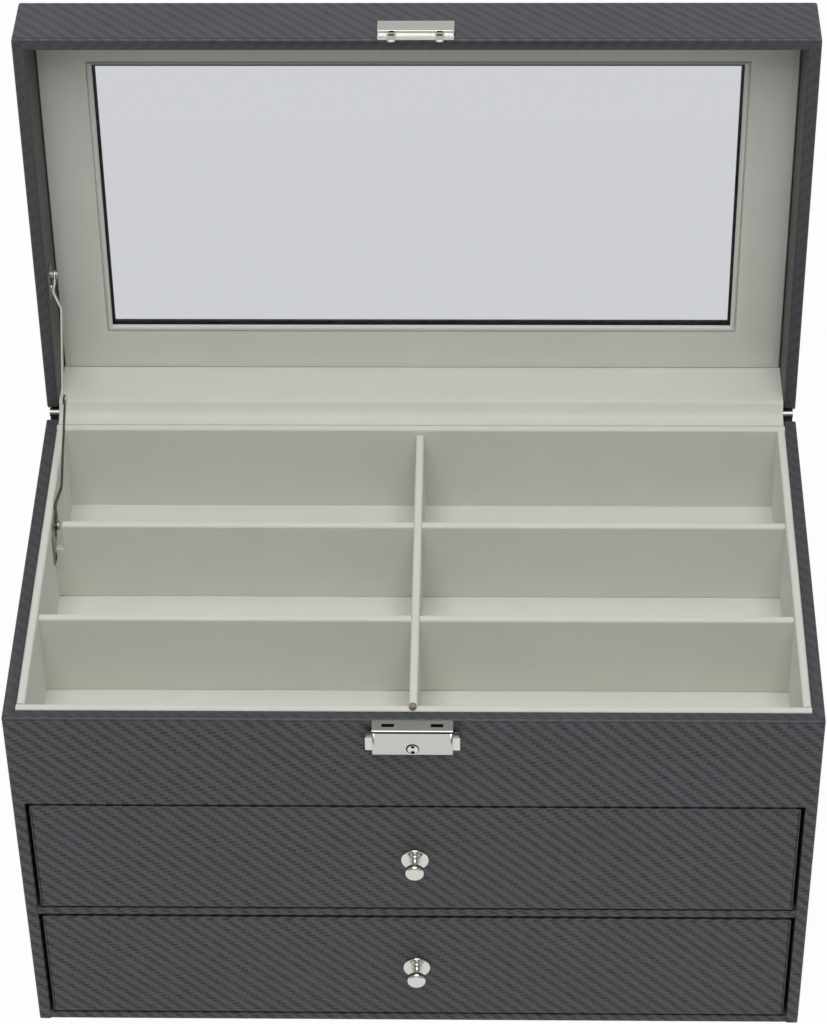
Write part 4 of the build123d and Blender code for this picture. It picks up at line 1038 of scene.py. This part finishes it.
def turned_piece(profile, x, z, steps=72):
    """Spin a profile of (radius, y) about the line through (x, z) along the depth.

    A radius of zero gives a pole, where the points of one ring are merged.
    """
    angle = np.linspace(0, 2 * np.pi, steps, endpoint=False)
    radius, along = np.array(profile).T[:, :, None]
    around = [x + radius * np.cos(angle), along + 0 * angle, z + radius * np.sin(angle)]
    points = np.stack(around, axis=-1).reshape(-1, 3)
    return points, cells(len(profile), steps, joined_columns=True).tolist()


def turned_edge(outer, face, size):
    """Round an edge: radius outer - size (1 - cos t), depth face + size (1 - sin t)."""
    return np.stack([outer - size * ARC_DOWN, face + size * ARC_IN], axis=1)


# %% Rosettes and knobs
DISC_OUT, KNOB_RADIUS, KNOB_STEPS = 1.0, 4.2, 6
disc_face = front - DISC_OUT

for drawer in DRAWERS:
    low, high = span(f"{drawer}_rosette")
    knob_z = (low[2] + high[2]) / 2
    plate, ring_face = high[0], low[1]
    rosette = [(1.2, front), (plate - 0.05, front), (plate, front - 0.1)]
    rosette += [*turned_edge(plate, disc_face, 0.5), (plate - 0.7, disc_face)]
    rosette += [(3.25, disc_face), (2.95, disc_face - 0.05), *turned_edge(2.9, ring_face, 0.3)]
    rosette += [(2.3, ring_face), (2.02, ring_face + 0.2), (1.95, disc_face)]
    rosette += [(1.2, disc_face), (1.2, front)]
    shells = [turned_piece(rosette, 0.0, knob_z)]
    make_piece(f"{drawer}_rosette_turned", shells, NICKEL, drawer, (f"{drawer}_rosette",))

    tip = span(f"{drawer}_knob")[0][1]
    turn = np.linspace(np.pi / 2, 0, 9)
    shoulder = np.stack([2.9 + 1.3 * np.sin(turn), tip + 0.12 + 1.5 * (1 - np.cos(turn))], axis=1)
    neck = [(2.15, 0.0), (1.85, 0.5), (1.72, 1.4), (1.7, 3.0), (1.85, 3.9), (2.6, 4.5)]
    knob = [(radius, disc_face - out) for radius, out in neck]
    knob += [(3.7, tip + 3.15), (4.15, tip + 2.4), *shoulder, (1.5, tip + 0.03), (0.0, tip)]
    knob = np.concatenate([[[0.0, disc_face]], smooth_route(np.array(knob), KNOB_STEPS)])
    knob[:, 0] = np.clip(knob[:, 0], 0.0, KNOB_RADIUS)
    shells = [turned_piece(knob, 0.0, knob_z)]
    make_piece(f"{drawer}_knob_turned", shells, NICKEL, drawer, (f"{drawer}_knob",))

# %% [markdown]
# ## The lock
# The case is a drawn shell with a cover plate on top; a fine groove runs round it
# where the two meet. It is cut into a copy of the solid: the copy's loose corners
# are merged, four cuts are made through it, and the two middle ones are drawn in.
# The same copy gets a crisper edge, and its front is set back a little. Its large
# faces stay flat, because smooth shading over them would show as dents.

# %% Four cuts through a copy of the lock case
GROOVE_HIGH, GROOVE_TALL, GROOVE_DEEP, CUT = 0.95, 0.4, 0.35, 0.02
CASE_EDGE, CRISP, SET_BACK, FRONT_ZONE, SHADE_ZONE = 0.95, 0.45, 0.6, 2.0, 1.2
CASE_SHARP, FLAT_AREA = np.radians(25), 4 * MM * MM
(_, case_front, _), (case_half, _, case_top) = span("lock_case")
groove_top = case_top - GROOVE_HIGH
groove_low = groove_top - GROOVE_TALL
shell = bmesh.new()
shell.from_mesh(frame["nodes"]["lock_case"].data)
bmesh.ops.remove_doubles(shell, verts=shell.verts, dist=MERGE * MM)
for height in (groove_top, groove_top - CUT, groove_low, groove_low - CUT):
    everything = [*shell.verts, *shell.edges, *shell.faces]
    cut = {"plane_co": (0, 0, height * MM), "plane_no": (0, 0, 1)}
    bmesh.ops.bisect_plane(shell, geom=everything, dist=1e-7, **cut)
mesh = bpy.data.meshes.new("lock_case_grooved")
shell.to_mesh(mesh)
shell.free()


# %% The groove drawn in, the edges crisper


def crisper(inside):
    """Pull the rounded zone inside a face towards the face, to a smaller round."""
    return np.where(inside < CASE_EDGE, inside * CRISP, inside)


x, y, z = read(mesh.vertices, "co").T / MM
in_groove = (z < groove_top - HAIR) & (z > groove_low - HAIR)
sideways, forwards = case_half - np.abs(x), y - case_front
at_side, at_front = sideways < CASE_EDGE, forwards < CASE_EDGE
x = np.sign(x) * (case_half - crisper(sideways) - GROOVE_DEEP * (in_groove & at_side))
y = case_front + crisper(forwards) + GROOVE_DEEP * (in_groove & at_front)
y = y + SET_BACK * (forwards < FRONT_ZONE)
z = case_top - crisper(case_top - z)
mesh.vertices.foreach_set("co", (np.stack([x, y, z], axis=1) * MM).ravel())
mesh.update()
# Painted shade: the faces level with the groove, near the sides and the front, are marked to be painted nearly
# black.
centre_x, centre_y, centre_z = read(mesh.polygons, "center").T / MM
low_edge = case_top - crisper(case_top - (groove_low - CUT))
high_edge = case_top - crisper(case_top - groove_top)
level_with = (centre_z < high_edge + HAIR / 2) & (centre_z > low_edge - HAIR / 2)
near_side = case_half - np.abs(centre_x) < SHADE_ZONE
dark = level_with & (near_side | (centre_y - case_front < SHADE_ZONE + SET_BACK))
mark(mesh, "painted_shade", dark)
mesh.set_sharp_from_angle(angle=CASE_SHARP)
small = read(mesh.polygons, "area", 1).ravel() < FLAT_AREA
mesh.polygons.foreach_set("use_smooth", small)
seat("lock_case_grooved", mesh, PRESSED, "base", ("lock_case",))
print("groove at", groove_top, "darkens", int(dark.sum()), "faces")

# %% [markdown]
# The key cylinder has a round face with two bores for the key's pins, one above
# the other. A bore is a smooth well in the face: zero outside its radius, full
# depth inside. Painted shade, nearly black, fills the bores, the gap round the
# plug and the sleeve.

# %% The cylinder's face
KEY_DROP, FACE, SLEEVE, PLUG_OFF = 10.1, 2.25, 2.68, 0.12
BORE, BORE_SPREAD, BORE_DEEP, BORE_BLUR = 0.72, 1.5, 1.2, 0.12
face_y = span("lock_cylinder")[0][1] + SET_BACK
centre_z = case_top - KEY_DROP
profile = [(r, face_y) for r in np.linspace(0, FACE - 0.15, 34)]
profile += [(FACE - 0.04, face_y + 0.04), (FACE, face_y + 0.15), (FACE, face_y + 0.3)]
profile += [(SLEEVE, face_y + 0.3), (SLEEVE, face_y + 2.0), (0.0, face_y + 2.0)]
points, faces = turned_piece(profile, 0.0, centre_z, steps=120)
x, _, z = points.T
gap = np.hypot(x, np.abs(z - centre_z) - BORE_SPREAD)
step = np.clip((BORE + BORE_BLUR / 2 - gap) / BORE_BLUR, 0, 1)
well = step * step * (3 - 2 * step) * (points[:, 1] < face_y + HAIR)
points[:, 1] += BORE_DEEP * well
points[:, 0] += PLUG_OFF * (np.hypot(x, z - centre_z) < FACE + HAIR)
shells, lock = [(points, faces)], "lock_cylinder"
cylinder = make_piece("lock_cylinder_turned", shells, NICKEL, lock, (lock,))
x, y, z = read(cylinder.data.vertices, "co").T / MM
around = np.hypot(x - PLUG_OFF, z - centre_z)
in_bore = (y > face_y + 0.3) & (around < 2.0)
beside_plug = (around > FACE - HAIR) & (y > face_y + 0.1)
on_sleeve = np.hypot(x, z - centre_z) > FACE + 0.2
# Painted shade on the bores, the gap round the plug and the sleeve.
mark(cylinder.data, "painted_shade", in_bore | beside_plug | on_sleeve, "POINT")

# %% [markdown]
# The strike is a pressed plate: a block on top, a hollow below it and a lip along
# the edge. Its section is carried across and rounded at both ends. Two tabs hang
# from it and enter the lock when the lid shuts. Each has a catch hole, and the
# plate above it a slot: both are thin plates of painted shade, dark as deep holes
# look.

# %% The strike
(_, strike_front, tab_low), (strike_half, _, strike_high) = lid_span("strike_plate")
BLOCK_OUT, LIP_OUT, HOLLOW_OUT, BLOCK_DROP, STRIKE_EDGE = 2.9, 1.95, 1.45, 1.0, 0.5
TAB_SPREAD, TAB_WIDE, TAB_THICK, TAB_IN, TAB_EDGE = 10.0, 3.7, 1.0, 0.35, 0.25
SLOT_WIDE, SLOT_PROUD = 2.2, 0.03
body = [
    (lid_front, lid_rim, 0),
    (lid_front, strike_high - BLOCK_DROP, 0),
    (lid_front - BLOCK_OUT, strike_high - BLOCK_DROP, 0.5),
    (lid_front - BLOCK_OUT, lid_rim + 2.7, 0.3),
    (lid_front - HOLLOW_OUT, lid_rim + 2.3, 0.3),
    (lid_front - HOLLOW_OUT, lid_rim + 1.0, 0),
    (lid_front - LIP_OUT, lid_rim + 0.75, 0),
    (lid_front - LIP_OUT, lid_rim, 0.3),
]
strike_shells = [board(body, 0, -strike_half, strike_half, STRIKE_EDGE)]
slot_shade_shells = []
tab_front = strike_front + TAB_IN
tab_face = lid_front - tab_front
for x in (-TAB_SPREAD, TAB_SPREAD):
    half = TAB_WIDE / 2
    radii = (half - 0.3, half - 0.3, 0.3, 0.3)
    corners = rectangle(x - half, x + half, tab_low, lid_rim + 0.6, radii)
    strike_shells.append(board(corners, 1, tab_front, tab_front + TAB_THICK, TAB_EDGE))
    half = SLOT_WIDE / 2
    for low, high, outer, inner in (
        (1.9, 2.75, 2.75, 1.7),
        (-2.0, -0.8, tab_face + SLOT_PROUD, tab_face - TAB_THICK - SLOT_PROUD),
    ):
        corners = rectangle(x - half, x + half, lid_rim + low, lid_rim + high)
        slot_shade_shells.append(board(corners, 1, lid_front - outer, lid_front - inner))
make_piece("strike_pressed", strike_shells, STRUCK, "lid", ("strike_plate",), place=open_lid)
# Painted shade: dark plates stand in the slots and the catch holes.
make_piece("strike_slot_shade", slot_shade_shells, HOLE_SHADE, "lid", place=open_lid)

# %% [markdown]
# ## The stay
# Each arm is a strip of steel, stepped sideways near its pivot so that it passes
# beside the bracket and the other arm. Its surface is a rounded section carried
# along the arm. The section's width follows a half circle round each pivot, and
# straight runs between a few distances give the sideways step. The head of the
# rivet at the elbow is turned, and laid on its side.

# %% The stay's arms
STRIP_WIDE, STRIP_THICK, SQUARE = 4.2, 0.7, 0.35
UPPER_X, LOWER_X = -156.9, -155.9
elbow_y, elbow_z = np.mean(span("stay_elbow_rivet"), axis=0)[1:]
strip_turn = np.linspace(0, 2 * np.pi, 16, endpoint=False)
circle = np.stack([np.cos(strip_turn), np.sin(strip_turn)])
section_x, section_w = np.abs(circle) ** SQUARE * np.sign(circle)


def stay_arm(name, body, pivot, steps, finish):
    """Carry a squarish section from a pivot to the elbow.

    At a distance s along the arm its half width is R * sqrt(1 - t^2), where t is
    how far s runs past the nearer pivot, over R; its sideways place is read from
    the straight runs between the given (s, x) pairs.
    """
    start = np.array(joints[pivot]["pos_m"][1:]) / MM
    run = np.array([elbow_y, elbow_z]) - start
    length = np.linalg.norm(run)
    run /= length
    aside = np.array([-run[1], run[0]])
    radius = STRIP_WIDE / 2
    past = -radius * np.cos(np.linspace(0, np.pi / 2, 9))
    along = np.array([*past[:-1], *np.linspace(0, length, 70), *(length - past[::-1][1:])])
    beyond = np.maximum(np.maximum(-along, along - length), 0) / radius
    half_wide = radius * np.sqrt(np.maximum(1 - beyond**2, 1e-4))
    side = np.interp(along, *np.array(steps).T)
    x = side[:, None] + STRIP_THICK / 2 * section_x
    across = half_wide[:, None] * section_w
    y = start[0] + along[:, None] * run[0] + across * aside[0]
    z = start[1] + along[:, None] * run[1] + across * aside[1]
    print(name, "is", round(length, 1), "mm between its pivots")
    shell, stands_for = capped(np.stack([x, y, z], axis=-1)), name.replace("_strip", "")
    make_piece(name, [shell], finish, body, (stands_for,))


upper = [(0, -159.45), (4.0, -159.6), (6.5, -160.3), (8.0, -160.2), (15.0, UPPER_X)]
lower = [(0, -157.35), (5.0, -157.5), (8.0, -158.1), (10.5, -158.0), (17.5, LOWER_X)]
stay_arm("stay_upper_arm_strip", "stay_upper", "stay_lid_pivot", upper, STAY_STEEL)
stay_arm("stay_lower_arm_strip", "stay_lower", "stay_base_pivot", lower, SHADED_ARM_STEEL)

# %% The rivet's head
head = [(0.0, 0.75), (0.7, 0.72), (1.3, 0.58), (1.75, 0.32), (1.95, 0.05)]
head += [(1.95, -0.05), (0.0, -0.05)]
points, faces = turned_piece(head, 0.0, 0.0, steps=32)
head_x = LOWER_X + STRIP_THICK / 2 + points[:, 1]
points = np.stack([head_x, elbow_y + points[:, 0], elbow_z + points[:, 2]], axis=1)
shells, stands_for = [(points, faces)], ("stay_elbow_rivet",)
make_piece("stay_elbow_rivet_head", shells, STAY_STEEL, "stay_lower", stands_for)

# %% [markdown]
# ## Fittings that keep their solids
# The remaining nodes have the right shape already. Each takes the finish that
# its record names, but for the hinge, the stay's brackets and its screws. The
# hinge, the brackets and the lid's screws take darker copies of the steel, as
# painted shade; the base screws are blackened.

# %% Finishes on the solids
finishes = {
    "charcoal_leatherette": leatherette,
    "covered_board": fibreboard,
    "ivory_velvet": velvet,
    "nickel_plate": nickel,
    "spring_steel": spring_wire,
    "grey_rubber": rubber,
    "clear_glass": glass,
}
# Painted shade: the hinge, the lid's screws and the brackets take darker copies of the steel.
shade_painted_parts = ("hinge_base_leaf", "hinge_lid_leaf", "hinge_pin", "stay_lid_screws")
duller = {**dict.fromkeys(shade_painted_parts, shade_painted_steel), "stay_base_screws": blackened_and_hole_shade}
duller.update(dict.fromkeys(("stay_base_bracket", "stay_lid_bracket"), shade_painted_bracket_steel))
for part in frame["record"]["subparts"]:
    for slot in frame["nodes"][part["node"]].material_slots:
        slot.material = duller.get(part["node"], finishes[part["material_slot"]])

# %% [markdown]
# ## Camera, floor and light
# The camera stands where the photograph's perspective puts it: high in front of
# the box, with a long lens.

# %% Camera
CAMERA_PLACE = (0.0307707, -1.086334, 1.1778097)
YAW, PITCH, ROLL = -0.0292575, -0.7253438, -0.0165908
LENS, SENSOR = 121.06, 36.0

forward = np.array([np.sin(YAW) * np.cos(PITCH), np.cos(YAW) * np.cos(PITCH), np.sin(PITCH)])
level = np.array([np.cos(YAW), -np.sin(YAW), 0.0])
upward = np.cross(level, forward)
right_axis = level * np.cos(ROLL) + upward * np.sin(ROLL)
up_axis = -level * np.sin(ROLL) + upward * np.cos(ROLL)


def stand(thing, place, axes):
    """Put a camera or a lamp at a place, turned to its right, up and back axes."""
    turn = Matrix(np.stack(axes, axis=1).tolist()).to_4x4()
    thing.matrix_world = Matrix.Translation(place) @ turn


lens = bpy.data.cameras.new("photo_camera")
lens.lens, lens.sensor_width = LENS, SENSOR
camera = new_object("photo_camera", lens)
stand(camera, CAMERA_PLACE, (right_axis, up_axis, -forward))
bpy.context.scene.camera = camera
print("camera at", CAMERA_PLACE)

# %% [markdown]
# The floor is white paper. Seen straight on, or through the glass, it reads as
# white, and it still keeps a little of the box's shadow. Polished metal sees it at
# four fifths of white, which gives the nickel its tone.

# %% Floor
REACH = 12.0
MIRRORED, SHADOWLESS = 0.8, 0.97


def straight_rays(tree):
    """Return what kind a ray is, and 1 where the camera or the glass sends it."""
    ray = add_node(tree, "LightPath", {})
    pair = {0: ray["Is Camera Ray"], 1: ray["Is Transmission Ray"]}
    return ray, add_node(tree, "Math", pair, operation="MAXIMUM")[0]


paper, tree, shader = new_finish("white paper sweep")
set_inputs(tree, shader, {"Base Color": screen_colour("DADADA"), "Roughness": 0.9})
ray, seen = straight_rays(tree)
mirrored = {0: ray["Is Glossy Ray"], 1: MIRRORED}
mirrored = add_node(tree, "Math", mirrored, operation="MULTIPLY")[0]
seen = add_node(tree, "Math", {0: seen, 1: mirrored}, operation="MAXIMUM")[0]
seen = add_node(tree, "Math", {0: seen, 1: SHADOWLESS}, operation="MULTIPLY")[0]
white = add_node(tree, "Emission", {"Color": (1, 1, 1, 1), "Strength": 1.0})["Emission"]
both = {0: seen, 1: shader.outputs["BSDF"], 2: white}
both = add_node(tree, "MixShader", both)["Shader"]
set_inputs(tree, tree.nodes["Material Output"], {"Surface": both})
corners = [(-REACH, -REACH, 0), (REACH, -REACH, 0), (REACH, REACH, 0), (-REACH, REACH, 0)]
floor_mesh = bpy.data.meshes.new("floor")
floor_mesh.from_pydata(corners, [], [(0, 1, 2, 3)])
floor_mesh.materials.append(paper)
floor = new_object("floor", floor_mesh)
print("floor reaches", REACH, "metres each way")

# %% [markdown]
# The room is a dim grey shell, paler behind the box and dark overhead, so that
# the metal has something to mirror; the camera and the glass see it as white. Two
# square softboxes do most of the lighting: one above, one above and in front.

# %% The room
FRONT_LIGHT, REAR_LIGHT, ZENITH_SHARE = 0.33, 0.54, 0.12

world = bpy.data.worlds.new("studio")
bpy.context.scene.world = world
world.use_nodes = True
tree = world.node_tree
_, seen = straight_rays(tree)
aim = add_node(tree, "TexCoord", {})["Generated"]
way = add_node(tree, "SeparateXYZ", {"Vector": aim})  # Y is -1 in front, Z is 1 overhead
rear = {"Value": way["Y"], "From Min": -0.3, "From Max": 0.8}
rear = {**rear, "To Min": FRONT_LIGHT, "To Max": REAR_LIGHT}
rear = add_node(tree, "MapRange", rear)["Result"]
overhead = {"Value": way["Z"], "From Min": 0.7, "From Max": 0.9}
overhead = {**overhead, "To Min": 1.0, "To Max": ZENITH_SHARE}
overhead = add_node(tree, "MapRange", overhead)["Result"]
dim = add_node(tree, "Math", {0: rear, 1: overhead}, operation="MULTIPLY")[0]
strength = add_node(tree, "Math", {0: dim, 1: seen}, operation="MAXIMUM")[0]
set_inputs(tree, tree.nodes["Background"], {"Color": (1, 1, 1, 1), "Strength": strength})
print("room light", FRONT_LIGHT, "in front,", REAR_LIGHT, "behind")

# %% Softboxes
SOFTBOX, AIM = 1.2, np.array([0.0, 0.0, 0.15])


def soft_lamp(name, place, watts):
    """Hang a square lamp at a place in metres, facing the middle of the box."""
    light = bpy.data.lights.new(name, "AREA")
    light.size, light.energy = SOFTBOX, watts
    back_axis = np.array(place) - AIM
    back_axis /= np.linalg.norm(back_axis)
    side_axis = np.cross([0.0, 1.0, 0.1], back_axis)
    side_axis /= np.linalg.norm(side_axis)
    axes = (side_axis, np.cross(back_axis, side_axis), back_axis)
    stand(new_object(name, light), place, axes)
    print(name, watts, "watts")


soft_lamp("overhead_softbox", (0.0, -0.05, 2.0), 8.8)
soft_lamp("front_softbox", (0.0, -0.75, 1.85), 16.8)
bpy.context.scene.view_settings.view_transform = "Standard"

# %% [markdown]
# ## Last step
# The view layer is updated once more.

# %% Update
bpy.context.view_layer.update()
